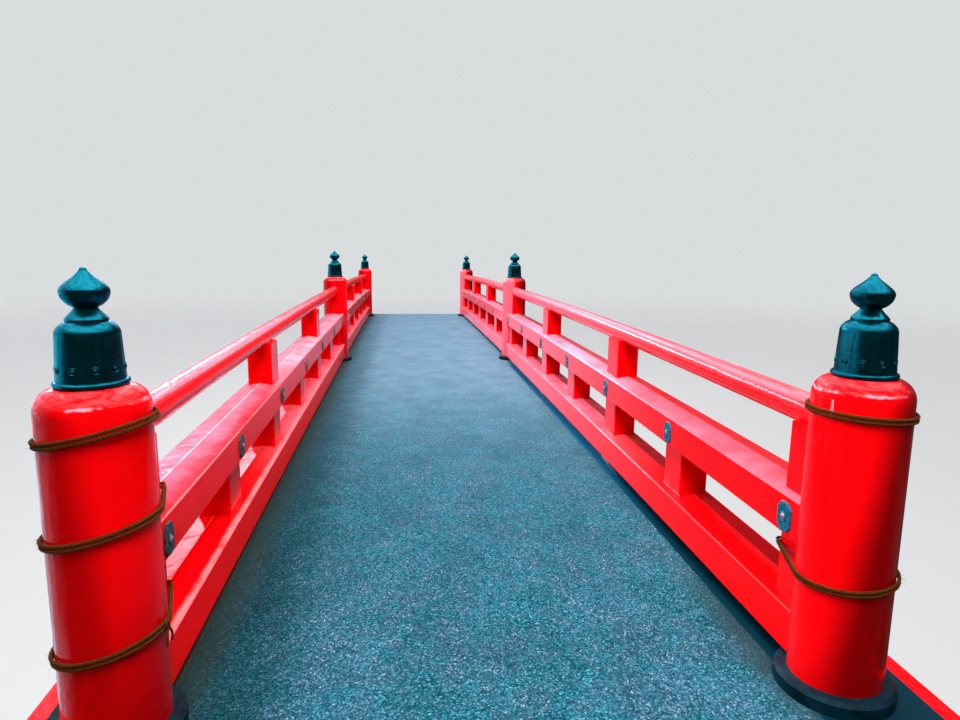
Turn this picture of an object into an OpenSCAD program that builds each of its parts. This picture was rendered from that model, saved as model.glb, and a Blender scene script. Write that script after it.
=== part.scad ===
// Low-arched garden bridge with round posts, onion finials and three-rail railings.
// Millimetres, +Z up, Y along the walkway. Origin: centre of the footprint at ground level.

/* [Bridge] */
// Distance between neighbouring posts along one railing
bay = 5700; // [4000:100:8000]
// Distance between the two railings, post axis to post axis
rail_axis = 1950; // [1500:50:2600]
// Rise of the walkway from the end posts to the middle post
camber = 50; // [20:10:600]
// Height of the walkway above the ground at the end posts
deck_level = 1700; // [1300:50:2600]
// Deck beyond a post axis, to the deck's side edge
deck_margin = 210; // [200:5:300]

/* [Deck] */
// Thickness of the granular surfacing
surfacing_t = 25; // [15:1:50]
// Thickness of the cross planks
plank_t = 75; // [50:5:120]
// Depth of a girder
girder_h = 300; // [200:10:450]
// Width of a girder
girder_w = 200; // [120:10:260]
// Depth of a cross beam between the girders
cross_beam_h = 180; // [100:10:200]
// Length of a cross beam's section along the bridge
cross_beam_l = 120; // [80:10:200]
// Spaces between cross beams in one bay
beam_spaces = 3; // [2:1:6]
// Thickness of the edge board along the deck
edge_board_t = 50; // [30:5:80]
// Depth of the edge board below the walkway surface
edge_board_h = 240; // [180:10:300]

/* [Posts] */
// Diameter of a post
post_d = 250; // [200:5:280]
// Height of a post above the walkway
post_h = 903; // [850:1:1200]
// Width of the rounded shoulder at a post's top
shoulder_w = 50; // [20:1:60]
// Height of the rounded shoulder
shoulder_h = 56; // [20:1:70]
// Outer diameter of the metal collar round a post's foot
collar_d = 320; // [290:5:390]
// Gap between the collar and the bottom rail above it
collar_gap = 3; // [1:1:10]
// Bevel on the collar's top edge
collar_bevel = 10; // [4:1:16]
// Depth that a rail's corners reach into the post's mortise
rail_bite = 6; // [3:1:15]
// Clearance round a rail in its mortise
mortise_fit = 1; // [0.5:0.5:3]

/* [Finials] */
// Diameter of the bead round a finial's foot
bead_d = 164; // [140:1:180]
// Thickness of the bead
bead_t = 15; // [10:1:24]
// Diameter of the cap just above the bead
cap_d = 149; // [120:1:160]
// Diameter of the cap under its rounded shoulder
cap_top_d = 138; // [110:1:150]
// Height of the cap up to its rounded shoulder
cap_h = 121; // [90:1:180]
// Height of the cap's rounded shoulder
cap_dome_h = 31; // [20:1:50]
// Diameter of the lip above the shoulder
lip_d = 92; // [70:1:110]
// Thickness of the lip
lip_t = 4; // [3:1:10]
// Diameter of the neck
neck_d = 50; // [36:1:60]
// Height of the flare between lip and neck
flare_h = 26; // [8:1:30]
// Diameter of the onion bulb
bulb_d = 106; // [80:1:130]
// Height of the bulb from the neck to its widest ring
bulb_low_h = 37; // [25:1:60]
// Height of the bulb from its widest ring to the tip's top
bulb_top_h = 55; // [45:1:90]
// Diameter of the blunt tip
tip_d = 17; // [8:1:20]
// Height of the blunt tip
tip_h = 7; // [4:1:14]

/* [Rails] */
// Gap between the walkway and the bottom rail
rail_gap = 45; // [30:1:90]
// Width of the bottom rail
bottom_rail_w = 190; // [140:2:196]
// Height of the bottom rail's side face
bottom_rail_h = 137; // [90:1:180]
// Height of the middle rail's underside above the walkway
mid_rail_z = 389; // [340:1:460]
// Width of the middle rail
mid_rail_w = 180; // [130:2:190]
// Height of the middle rail's side face
mid_rail_h = 123; // [80:1:150]
// Height of the ridge on the gabled tops of both rails
ridge_h = 17; // [5:1:40]
// Bevel along the edges of the rails and struts
arris = 5; // [1:1:10]
// Diameter of the round top rail
top_rail_d = 95; // [70:1:110]
// Height of the top rail's axis above the walkway
top_rail_z = 757; // [720:1:800]

/* [Struts] */
// Width of a strut across the railing
strut_w = 120; // [80:1:140]
// Length of a strut along the railing
strut_l = 172; // [110:1:200]
// Distance from a post's face to the axis of the strut beside it
strut_beside = 16; // [10:1:60]
// Spaces between lower struts in one bay
strut_spaces = 6; // [4:2:8]
// Shift of the left railing's free struts, towards the near end
left_strut_shift = 45; // [0:1:60]
// Shift of the right railing's free struts, towards the far end
right_strut_shift = 22; // [0:1:60]
// Depth of the seat cut into an upper strut for the top rail
cradle = 16; // [8:1:30]
// Length of a foot block under the bottom rail
foot_l = 150; // [80:5:200]
// Width of a foot block
foot_w = 150; // [80:5:180]

/* [Fittings] */
// Height of a nail cover
cover_h = 90; // [60:1:110]
// Width of a nail cover
cover_w = 66; // [40:1:80]
// Thickness of a nail cover's plate
cover_t = 6; // [2:1:8]
// Diameter of the boss on a nail cover, at its foot
cover_boss_d = 26; // [18:1:34]
// Diameter of the boss at its top
cover_boss_top_d = 14; // [8:1:16]
// Height of the boss above the plate
cover_boss_h = 7; // [3:1:12]
// Corner cut off a nail cover
cover_corner = 18; // [8:1:24]
// Drop of the covers below the middle of the rail's face
cover_drop = 6; // [0:1:14]
// Distance from the axis of a strut beside a post to its cover, away from the post
cover_shift = 25; // [0:1:30]

/* [Ropes] */
// Diameter of the rope, which goes round the near posts in double turns
rope_d = 10; // [6:1:14]
// Gap between the two cords of a turn
rope_apart = 1; // [0.5:0.5:4]
// Gap between the top rail and the highest turns, which pass over it
rope_over_rail = 2; // [2:1:15]
// Drop of the left post's highest turn, from over the rail to its front
rope_left_drop = 17; // [4:1:30]
// Drop of the right post's highest turn, from over the rail to its front
rope_right_drop = 8; // [4:1:30]
// Height of the left post's middle turn above the middle rail's ridge
rope_middle_rise = 33; // [25:1:80]
// Height of the left post's lowest turn above the bottom rail's ridge
rope_low_rise = 73; // [25:1:110]
// Height of the right post's lower turn above the bottom rail's ridge
rope_right_rise = 149; // [25:1:170]
// Lean of the turns on the left post
rope_lean = 11; // [0:1:13]
// Lean of the highest turn on the right post
rope_right_top_lean = 2; // [0:1:12]
// Lean of the lower turn on the right post
rope_right_lean = 6; // [0:1:12]
// Slack of the rope round the post and strut
rope_fit = 1; // [0.5:0.5:3]

/* [Pier] */
// Diameter of a pier column
column_d = 260; // [200:10:340]
// Lean of the outer columns, outwards to the foot
column_lean = 4; // [0:1:8]
// Width of the cap beam along the bridge
cap_w = 280; // [220:10:400]
// Depth of the cap beam
cap_beam_h = 240; // [160:10:320]
// Part of the cap beam that stands out past the outer girders
cap_end = 80; // [20:10:200]
// Thickness of a tie beam
tie_t = 70; // [40:5:100]
// Depth of a tie beam
tie_h = 170; // [100:10:220]
// Height of the lower tie beam's underside
low_tie_z = 240; // [150:10:350]
// Height of the upper tie beam's underside
high_tie_z = 690; // [550:10:750]
// Part of a tie beam that stands out past the column
tie_end = 120; // [60:10:250]

/* [Abutments] */
// Length of the seat that carries the girder ends
seat_l = 400; // [300:10:700]
// Front edge of the seat, from the end post's axis towards the span
seat_front = 150; // [50:10:400]
// Thickness of the back wall behind the girder ends
back_wall_t = 300; // [200:10:500]
// Stone beyond the deck's edge at each side
abutment_margin = 60; // [40:10:300]
// Depth of the timber sill on the seat
sill_h = 110; // [60:10:200]
// Width of the timber sill along the bridge
sill_w = 260; // [150:10:280]

/* [Hidden] */

LEFT = -1;
RIGHT = 1;
NEAR = -1;
MIDDLE = 0;
FAR = 1;

VERMILION = [0.80, 0.07, 0.05];
PATINA = [0.06, 0.20, 0.21];
TARMAC = [0.20, 0.25, 0.28];
TIMBER = [0.30, 0.22, 0.16];
STONE = [0.50, 0.49, 0.46];
ROPE = [0.30, 0.20, 0.11];

// The walkway surface is one arc through the end posts' feet and the crown.
arc_r = (bay * bay + camber * camber) / (2 * camber);
crown_z = deck_level + camber;
deck_end = bay + seat_l - seat_front;
deck_half = rail_axis / 2 + deck_margin;
arc_fn = ceil(48 * 360 / (2 * asin((deck_end + back_wall_t) / arc_r)));
round_fn = 64;
rope_steps = 24;
rope_sides = 8;
// Half the arc over which a highest turn lies level on the rail, and the arc of its way down
saddle_flat = 14;
saddle_slope = 40;
saddle_steps = 36;
tall = 2 * (deck_level + post_h);

planks_top = -surfacing_t;
girder_top = planks_top - plank_t;
girder_low = girder_top - girder_h;
girder_x = rail_axis / 2;
bottom_rail_z = rail_gap;
tie_fit = 1;
collar_h = rail_gap - collar_gap;
end_strut = post_d / 2 + strut_beside;
strut_pitch = (bay - 2 * end_strut) / strut_spaces;
bottom_ridge = bottom_rail_z + bottom_rail_h + ridge_h;
mid_ridge = mid_rail_z + mid_rail_h + ridge_h;

function surface_z(y) = crown_z - arc_r + sqrt(arc_r * arc_r - y * y);
function gable(w, z, h, x) = z + h + ridge_h * (1 - abs(x) / (w / 2));
// Drop of the arc over half a length, where a flat face meets it
function sag(len) = arc_r - sqrt(arc_r * arc_r - len * len / 4);
// Distance from a post's axis to the end of a rail of this width
function rail_end(w) = sqrt(post_d * post_d - w * w) / 2 - rail_bite;
function strut_shift(side) = side < 0 ? -left_strut_shift : right_strut_shift;
function is_free(i) = i > 0 && i < strut_spaces;
function strut_y(side, half, i) =
    (half < 0 ? -bay : 0) + end_strut + i * strut_pitch + (is_free(i) ? strut_shift(side) : 0);
// The covers beside the posts stand a little farther from the post than their struts.
function cover_y(side, half, i) =
    strut_y(side, half, i) + (is_free(i) ? 0 : i == 0 ? cover_shift : -cover_shift);
function post_x(side) = side * rail_axis / 2;
function post_y(place) = place * bay;

// Sweeps a section along the walkway's arc. The section is drawn as [across, up],
// with its height measured from the walkway surface.
module along_arc(y0, y1) {
    a0 = asin(y0 / arc_r);
    a1 = asin(y1 / arc_r);
    translate([0, 0, crown_z - arc_r])
        rotate([0, -90, 0])
            rotate([0, 0, a0])
                rotate_extrude(angle = a1 - a0, $fn = arc_fn)
                    translate([arc_r, 0])
                        rotate(-90) children();
}

// Puts a piece on the arc at one place, square to it, with z counted from the walkway.
module on_arc(y) {
    translate([0, 0, crown_z - arc_r])
        rotate([-asin(y / arc_r), 0, 0])
            translate([0, 0, arc_r]) children();
}

module band(x0, x1, low, high) {
    translate([x0, low]) square([x1 - x0, high - low]);
}

module gabled_section(w, z, h, fit = 0) {
    half = w / 2 + fit;
    in = half - arris;
    low = z - fit;
    high = z + h + fit;
    eaves = high + ridge_h * arris / half;
    polygon([
        [-in, low], [in, low], [half, low + arris], [half, high - arris], [in, eaves],
        [0, high + ridge_h], [-in, eaves], [-half, high - arris], [-half, low + arris]
    ]);
}

module bottom_rail_section(fit = 0) {
    gabled_section(bottom_rail_w, bottom_rail_z, bottom_rail_h, fit);
}

module mid_rail_section(fit = 0) {
    gabled_section(mid_rail_w, mid_rail_z, mid_rail_h, fit);
}

module top_rail_section(fit = 0) {
    translate([0, top_rail_z]) circle(d = top_rail_d + 2 * fit, $fn = 48);
}

module post_space(side, place) {
    translate([post_x(side), post_y(place), deck_level - tall / 2])
        cylinder(d = post_d, h = tall, $fn = round_fn);
}

// A rail of one bay, whose ends stand in the mortises of two posts
module bay_rail(side, half, w) {
    start = half < 0 ? NEAR : MIDDLE;
    color(VERMILION)
        translate([post_x(side), 0, 0])
            along_arc(post_y(start) + rail_end(w), post_y(start + 1) - rail_end(w)) children();
}

module bottom_rail(side, half) {
    bay_rail(side, half, bottom_rail_w) bottom_rail_section();
}

module mid_rail(side, half) {
    bay_rail(side, half, mid_rail_w) mid_rail_section();
}

module top_rail(side, half) {
    bay_rail(side, half, top_rail_d) top_rail_section();
}

module bevelled_rectangle(w, l, bevel) {
    x = w / 2;
    y = l / 2;
    polygon([
        [-x, bevel - y], [bevel - x, -y], [x - bevel, -y], [x, bevel - y],
        [x, y - bevel], [x - bevel, y], [bevel - x, y], [-x, y - bevel]
    ]);
}

// A strut between two heights, standing on the gable of the rail below it
module strut(side, y, rail_w, rail_z, rail_h, top) {
    foot_edge = gable(rail_w, rail_z, rail_h, strut_w / 2);
    ridge = gable(rail_w, rail_z, rail_h, 0);
    translate([post_x(side), 0, 0])
        on_arc(y)
            intersection() {
                rotate([90, 0, 0])
                    linear_extrude(strut_l, center = true)
                        polygon([
                            [-strut_w / 2, foot_edge], [0, ridge], [strut_w / 2, foot_edge],
                            [strut_w / 2, top], [-strut_w / 2, top]
                        ]);
                translate([0, 0, rail_z])
                    linear_extrude(top) bevelled_rectangle(strut_w, strut_l, arris);
            }
}

module strut_row(side, step, rail_w, rail_z, rail_h, top) {
    difference() {
        for (half = [NEAR, FAR], i = [0 : step : strut_spaces])
            strut(side, strut_y(side, half, i), rail_w, rail_z, rail_h, top);
        for (place = [NEAR, MIDDLE, FAR]) post_space(side, place);
    }
}

module lower_struts(side) {
    color(VERMILION)
        strut_row(side, 1, bottom_rail_w, bottom_rail_z, bottom_rail_h, mid_rail_z);
}

// Upper struts have a round seat for the top rail.
module upper_struts(side) {
    seat_z = top_rail_z - top_rail_d / 2 + cradle;
    color(VERMILION)
        difference() {
            strut_row(side, 2, mid_rail_w, mid_rail_z, mid_rail_h, seat_z);
            for (half = [NEAR, FAR], i = [0 : 2 : strut_spaces])
                translate([post_x(side), 0, 0])
                    on_arc(strut_y(side, half, i))
                        rotate([90, 0, 0])
                            linear_extrude(2 * strut_l, center = true) top_rail_section();
        }
}

module rail_feet() {
    color(TIMBER)
        for (side = [LEFT, RIGHT], half = [NEAR, FAR], i = [2 : 2 : strut_spaces - 2]) {
            y = strut_y(side, half, i);
            translate([post_x(side), 0, 0])
                along_arc(y - foot_l / 2, y + foot_l / 2)
                    band(-foot_w / 2, foot_w / 2, 0, rail_gap);
        }
}

// The mortise that one rail's end stands in, on the side that dir points to
module mortise(dir, w) {
    start = rail_end(w) - mortise_fit;
    translate([0, dir * (start + post_d / 2), 0])
        rotate([90, 0, 0]) linear_extrude(post_d, center = true) children();
}

module mortises(side, place) {
    for (dir = [NEAR, FAR])
        if (abs(place + dir) < 2)
            translate([post_x(side), 0, 0])
                on_arc(post_y(place)) {
                    mortise(dir, bottom_rail_w) bottom_rail_section(mortise_fit);
                    mortise(dir, mid_rail_w) mid_rail_section(mortise_fit);
                    mortise(dir, top_rail_d) top_rail_section(mortise_fit);
                }
}

// A box that takes away all that is lower than the arc at this height
module under_arc_box(y, z) {
    on_arc(y) translate([-tall / 2, -post_d, z - tall]) cube([tall, 2 * post_d, tall]);
}

// Posts pass through the deck and stand on the outer girders.
module post(side, place) {
    foot = girder_top - post_d / 2;
    shoulder_x = post_d / 2 - shoulder_w;
    color(VERMILION)
        difference() {
            translate([post_x(side), post_y(place), surface_z(post_y(place))])
                rotate_extrude($fn = round_fn)
                    polygon(concat(
                        [[0, foot], [post_d / 2, foot]],
                        arc_pts(shoulder_x, post_h - shoulder_h, shoulder_w, shoulder_h, 0, 90, 12),
                        [[0, post_h]]
                    ));
            under_arc_box(post_y(place), girder_top);
            mortises(side, place);
        }
}

// One ring of metal that fits round the post and sits on the surfacing
module collar(side, place) {
    inner = post_d / 2;
    outer = collar_d / 2;
    difference() {
        translate([post_x(side), post_y(place), surface_z(post_y(place)) - surfacing_t])
            rotate_extrude($fn = round_fn)
                polygon([
                    [inner, 0], [outer, 0], [outer, surfacing_t + collar_h - collar_bevel],
                    [outer - collar_bevel, surfacing_t + collar_h], [inner, surfacing_t + collar_h]
                ]);
        under_arc_box(post_y(place), 0);
    }
}

module post_collars() {
    color(PATINA)
        for (side = [LEFT, RIGHT], place = [NEAR, MIDDLE, FAR]) collar(side, place);
}

// Points of an ellipse's arc, from angle a to angle b
function arc_pts(cx, cz, rx, rz, a, b, n) =
    [for (i = [0 : n]) let (t = a + (b - a) * i / n) [cx + rx * cos(t), cz + rz * sin(t)]];

// Points of a cubic curve with four control points, without the first one
function curve_pts(p, n) =
    [for (i = [1 : n]) let (t = i / n, u = 1 - t)
        u * u * u * p[0] + 3 * u * u * t * p[1] + 3 * u * t * t * p[2] + t * t * t * p[3]];

// The finial's outline, turned: bead, cap, shoulder, lip, flare, onion bulb and tip
function finial_outline() =
    let (
        cap_r = cap_top_d / 2,
        lip_r = lip_d / 2,
        neck_r = neck_d / 2,
        bulb_r = bulb_d / 2,
        tip_r = tip_d / 2,
        lip_z = cap_h + cap_dome_h,
        neck_z = lip_z + lip_t + flare_h,
        wide_z = neck_z + bulb_low_h,
        tip_z = wide_z + bulb_top_h - tip_h,
        // Where the bulb's round underside meets the neck, in degrees below its widest ring
        bulb_foot = acos(neck_r / bulb_r)
    )
    concat(
        [[0, 0]],
        arc_pts((bead_d - bead_t) / 2, bead_t / 2, bead_t / 2, bead_t / 2, -90, 90, 8),
        [[cap_d / 2, bead_t], [cap_r, cap_h]],
        curve_pts([
            [cap_r, cap_h], [cap_r, cap_h + cap_dome_h * 0.4],
            [(cap_r + lip_r) / 2 + 2, cap_h + cap_dome_h * 0.75], [lip_r - 3, lip_z]
        ], 8),
        [[lip_r, lip_z], [lip_r, lip_z + lip_t]],
        curve_pts([
            [lip_r, lip_z + lip_t], [lip_r - 3, lip_z + lip_t + flare_h * 0.25],
            [neck_r + 5, lip_z + lip_t + flare_h * 0.6], [neck_r, neck_z]
        ], 8),
        arc_pts(0, wide_z, bulb_r, bulb_low_h / sin(bulb_foot), -bulb_foot * 0.9, 0, 9),
        curve_pts([
            [bulb_r, wide_z], [bulb_r, wide_z + bulb_top_h * 0.3],
            [bulb_r * 0.43, wide_z + bulb_top_h * 0.51], [tip_r, tip_z]
        ], 10),
        arc_pts(0, tip_z, tip_r, tip_h, 15, 90, 5)
    );

module finial(side, place) {
    color(PATINA)
        translate([post_x(side), post_y(place), surface_z(post_y(place)) + post_h])
            rotate_extrude($fn = round_fn) polygon(finial_outline());
}

// A plate with a raised boss, on one face of a middle rail
module nail_cover(side, face, y) {
    translate([post_x(side) + face * mid_rail_w / 2, 0, 0])
        on_arc(y)
            translate([0, 0, mid_rail_z + mid_rail_h / 2 - cover_drop])
                rotate([90, 0, face * 90]) {
                    linear_extrude(cover_t) bevelled_rectangle(cover_w, cover_h, cover_corner);
                    translate([0, 0, cover_t])
                        cylinder(d1 = cover_boss_d, d2 = cover_boss_top_d, h = cover_boss_h, $fn = 24);
                }
}

module nail_covers() {
    color(PATINA)
        for (side = [LEFT, RIGHT], face = [LEFT, RIGHT], half = [NEAR, FAR], i = [0 : strut_spaces])
            nail_cover(side, face, cover_y(side, half, i));
}

function unit(v) = v / norm(v);

// Way of a rope round the post and the strut beside it, in the plane of the turn
function loop_way(turn_r, corner) =
    let (
        leave = atan2(corner[1], corner[0]) - acos(turn_r / norm(corner)),
        sweep = 180 + 2 * leave
    )
    concat(
        [for (i = [0 : rope_steps])
            let (a = 180 - leave + sweep * i / rope_steps) [turn_r * cos(a), turn_r * sin(a), 0]],
        [[corner[0], corner[1], 0], [-corner[0], corner[1], 0]]
    );

// Way of a rope round the post alone, which rises from this drop to pass over the rail
function saddle_way(turn_r, drop) =
    [for (i = [0 : saddle_steps - 1])
        let (
            a = 360 * i / saddle_steps,
            away = min(abs(a - 90), 360 - abs(a - 90)),
            t = max(0, min(1, (away - saddle_flat) / saddle_slope))
        )
        [turn_r * cos(a), turn_r * sin(a), -drop * t * t * (3 - 2 * t)]];

// A closed rope along a nearly level ring of points, with a mitre at each point
module rope_ring(way) {
    n = len(way);
    r = rope_d / 2;
    level = [for (p = way) [p[0], p[1]]];
    points = [
        for (i = [0 : n - 1])
            let (
                before = unit(level[i] - level[(i + n - 1) % n]),
                after = unit(level[(i + 1) % n] - level[i]),
                out = unit([before[1] + after[1], -before[0] - after[0]]),
                mitre = sqrt(2 / (1 + before * after))
            )
            for (k = [0 : rope_sides - 1])
                let (t = 360 * k / rope_sides, across = level[i] + out * r * mitre * cos(t))
                [across[0], across[1], way[i][2] + r * sin(t)]
    ];
    faces = [
        for (i = [0 : n - 1], k = [0 : rope_sides - 1])
            let (here = i * rope_sides, next = (i + 1) % n * rope_sides, up = (k + 1) % rope_sides)
            [here + k, here + up, next + up, next + k]
    ];
    polyhedron(points, faces);
}

// A double turn of rope round a near post, at a height above the walkway. It leans to one
// side. Where drop is 0 it also takes in the strut that stands against the post.
module rope_turn(side, z, lean, drop) {
    turn_r = (post_d + rope_d) / 2 / cos(lean) + rope_fit;
    corner = [(strut_w + rope_d) / 2 / cos(lean) + rope_fit, end_strut + (strut_l + rope_d) / 2 + rope_fit];
    way = drop > 0 ? saddle_way(turn_r, drop) : loop_way(turn_r, corner);
    translate([post_x(side), post_y(NEAR), deck_level + z])
        rotate([0, lean, 0])
            for (level = [-0.5, 0.5])
                translate([0, 0, level * (rope_d + rope_apart)]) rope_ring(way);
}

module rope_lashings() {
    top_turn = top_rail_z + top_rail_d / 2 + rope_over_rail + rope_d + rope_apart / 2;
    color(ROPE) {
        rope_turn(LEFT, top_turn, -rope_lean, rope_left_drop);
        rope_turn(LEFT, mid_ridge + rope_middle_rise, -rope_lean, 0);
        rope_turn(LEFT, bottom_ridge + rope_low_rise, -rope_lean, 0);
        rope_turn(RIGHT, top_turn, rope_right_top_lean, rope_right_drop);
        rope_turn(RIGHT, bottom_ridge + rope_right_rise, -rope_right_lean, 0);
    }
}

module deck_planks() {
    color(TIMBER)
        difference() {
            along_arc(-deck_end, deck_end) band(-deck_half, deck_half, girder_top, planks_top);
            for (side = [LEFT, RIGHT], place = [NEAR, MIDDLE, FAR])
                post_space(side, place);
        }
}

module deck_surfacing() {
    run = deck_end + back_wall_t;
    color(TARMAC)
        difference() {
            along_arc(-run, run) band(-deck_half, deck_half, planks_top, 0);
            for (side = [LEFT, RIGHT], place = [NEAR, MIDDLE, FAR])
                post_space(side, place);
        }
}

module edge_board(side) {
    x0 = side > 0 ? deck_half : -deck_half - edge_board_t;
    color(VERMILION)
        along_arc(-deck_end - back_wall_t, deck_end + back_wall_t)
            band(x0, x0 + edge_board_t, -edge_board_h, 0);
}

module girder(x) {
    color(VERMILION)
        along_arc(-deck_end, deck_end)
            band(x - girder_w / 2, x + girder_w / 2, girder_low, girder_top);
}

module cross_beams() {
    gap = girder_x - girder_w;
    color(VERMILION)
        for (i = [1 : beam_spaces], half = [NEAR, FAR], s = [LEFT, RIGHT]) {
            y = half * i * bay / beam_spaces;
            along_arc(y - cross_beam_l / 2, y + cross_beam_l / 2)
                band(s * girder_x / 2 - gap / 2, s * girder_x / 2 + gap / 2,
                     girder_top - cross_beam_h, girder_top);
        }
}

// A box across the bridge at one end, between two distances from the middle
module end_box(place, y0, y1, half_w, z0, z1) {
    translate([-half_w, place > 0 ? y0 : -y1, z0]) cube([2 * half_w, y1 - y0, z1 - z0]);
}

// Takes away all that is higher than the arc at this height, with a flat face
module over_arc_box(y, len, z) {
    on_arc(y)
        translate([-tall / 2, -tall / 2, z - sag(len)]) cube([tall, tall, tall]);
}

function seat_z() = surface_z(bay) + girder_low - sill_h;

module bearing_sills() {
    middle = bay + seat_l / 2 - seat_front;
    color(TIMBER)
        for (place = [NEAR, FAR])
            difference() {
                end_box(place, middle - sill_w / 2, middle + sill_w / 2,
                        deck_half, seat_z(), seat_z() + 2 * sill_h);
                over_arc_box(place * middle, sill_w, girder_low);
            }
}

// Masonry with a seat for the girders and a wall behind their ends
module abutment(place) {
    wall_top = surface_z(deck_end) + 2 * surfacing_t;
    color(STONE) {
        end_box(place, bay - seat_front, deck_end + back_wall_t,
                deck_half + edge_board_t + abutment_margin, 0, seat_z());
        difference() {
            end_box(place, deck_end, deck_end + back_wall_t, deck_half, seat_z(), wall_top);
            over_arc_box(place * (deck_end + back_wall_t / 2), back_wall_t, planks_top);
        }
    }
}

cap_top = surface_z(cap_w / 2) + girder_low;
cap_z = cap_top - cap_beam_h;

module pier_cap() {
    half_w = girder_x + girder_w / 2 + cap_end;
    color(TIMBER)
        translate([-half_w, -cap_w / 2, cap_z]) cube([2 * half_w, cap_w, cap_beam_h]);
}

module tie(z, fit) {
    half_w = girder_x + (cap_z - z) * tan(column_lean) + column_d / 2 + tie_end;
    translate([-half_w, -tie_t / 2 - fit, z - fit])
        cube([2 * half_w, tie_t + 2 * fit, tie_h + 2 * fit]);
}

module pier_ties() {
    color(TIMBER) {
        tie(low_tie_z, 0);
        tie(high_tie_z, 0);
    }
}

module pier_columns() {
    color(TIMBER)
        difference() {
            intersection() {
                for (i = [-1 : 1])
                    translate([i * girder_x, 0, cap_z])
                        rotate([0, i * (180 - column_lean) + (i == 0 ? 180 : 0), 0])
                            translate([0, 0, -column_d])
                                cylinder(d = column_d, h = tall, $fn = round_fn);
                translate([-tall, -column_d, 0]) cube([2 * tall, 2 * column_d, cap_z]);
            }
            tie(low_tie_z, tie_fit);
            tie(high_tie_z, tie_fit);
        }
}

abutment(NEAR);  // abutment_near
abutment(FAR);  // abutment_far
bearing_sills();
pier_columns();
pier_ties();
pier_cap();
girder(-girder_x);  // girder_left
girder(0);  // girder_middle
girder(girder_x);  // girder_right
cross_beams();
deck_planks();
deck_surfacing();
edge_board(LEFT);  // edge_board_left
edge_board(RIGHT);  // edge_board_right
post(LEFT, NEAR);  // post_left_near
post(LEFT, MIDDLE);  // post_left_middle
post(LEFT, FAR);  // post_left_far
post(RIGHT, NEAR);  // post_right_near
post(RIGHT, MIDDLE);  // post_right_middle
post(RIGHT, FAR);  // post_right_far
finial(LEFT, NEAR);  // finial_left_near
finial(LEFT, MIDDLE);  // finial_left_middle
finial(LEFT, FAR);  // finial_left_far
finial(RIGHT, NEAR);  // finial_right_near
finial(RIGHT, MIDDLE);  // finial_right_middle
finial(RIGHT, FAR);  // finial_right_far
post_collars();
rail_feet();
bottom_rail(LEFT, NEAR);  // bottom_rail_left_near
bottom_rail(LEFT, FAR);  // bottom_rail_left_far
bottom_rail(RIGHT, NEAR);  // bottom_rail_right_near
bottom_rail(RIGHT, FAR);  // bottom_rail_right_far
lower_struts(LEFT);  // lower_struts_left
lower_struts(RIGHT);  // lower_struts_right
mid_rail(LEFT, NEAR);  // mid_rail_left_near
mid_rail(LEFT, FAR);  // mid_rail_left_far
mid_rail(RIGHT, NEAR);  // mid_rail_right_near
mid_rail(RIGHT, FAR);  // mid_rail_right_far
upper_struts(LEFT);  // upper_struts_left
upper_struts(RIGHT);  // upper_struts_right
top_rail(LEFT, NEAR);  // top_rail_left_near
top_rail(LEFT, FAR);  // top_rail_left_far
top_rail(RIGHT, NEAR);  // top_rail_right_near
top_rail(RIGHT, FAR);  // top_rail_right_far
nail_covers();
rope_lashings();
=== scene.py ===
import math
import random

import bmesh
import bpy
import numpy as np
from mathutils import Matrix, Vector, noise


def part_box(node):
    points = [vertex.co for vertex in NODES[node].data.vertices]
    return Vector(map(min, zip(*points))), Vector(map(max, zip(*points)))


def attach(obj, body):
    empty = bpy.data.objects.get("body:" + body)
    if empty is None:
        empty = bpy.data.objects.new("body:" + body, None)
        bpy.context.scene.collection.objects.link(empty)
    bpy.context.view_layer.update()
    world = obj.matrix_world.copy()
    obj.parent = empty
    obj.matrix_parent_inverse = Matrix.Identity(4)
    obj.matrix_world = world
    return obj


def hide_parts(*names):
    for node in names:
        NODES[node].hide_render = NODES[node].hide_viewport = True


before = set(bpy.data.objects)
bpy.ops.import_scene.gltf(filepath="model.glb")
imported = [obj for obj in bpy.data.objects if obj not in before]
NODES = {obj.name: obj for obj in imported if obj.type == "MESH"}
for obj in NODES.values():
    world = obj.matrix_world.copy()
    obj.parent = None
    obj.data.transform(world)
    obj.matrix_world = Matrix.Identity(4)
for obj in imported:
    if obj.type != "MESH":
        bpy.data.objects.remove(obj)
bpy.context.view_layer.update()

# Sizes read from the frame, in metres. Near is -Y and right is +X.
post_low, post_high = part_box("post_right_near")
POST_R = (post_high.x - post_low.x) / 2
RAIL_X = (post_high.x + post_low.x) / 2
BAY = -(post_high.y + post_low.y) / 2
POST_TOP = post_high.z
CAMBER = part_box("post_right_middle")[1].z - POST_TOP
CROWN_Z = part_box("deck_surfacing")[1].z
DECK_Z = CROWN_Z - CAMBER
ARC_R = (BAY * BAY + CAMBER * CAMBER) / (2 * CAMBER)
RIDGE_H = 0.017
SIDES = (-1, 1)
PLACES = (-1, 0, 1)


def islands(name):
    """The lowest and highest corner of each separate solid in a node, from near to far."""
    mesh = NODES[name].data
    corners = [tuple(round(c, 5) for c in v.co) for v in mesh.vertices]
    parent = {corner: corner for corner in corners}

    def root(corner):
        while parent[corner] != corner:
            parent[corner] = parent[parent[corner]]
            corner = parent[corner]
        return corner

    for edge in mesh.edges:
        a, b = (root(corners[i]) for i in edge.vertices)
        parent[a] = b
    solids = {}
    for corner in parent:
        solids.setdefault(root(corner), []).append(corner)
    boxes = [(Vector(map(min, zip(*s))), Vector(map(max, zip(*s)))) for s in solids.values()]
    return sorted(boxes, key=lambda b: (b[0].y, b[0].x, b[0].z))


def width(name):
    low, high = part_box(name)
    return high.x - low.x


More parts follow.
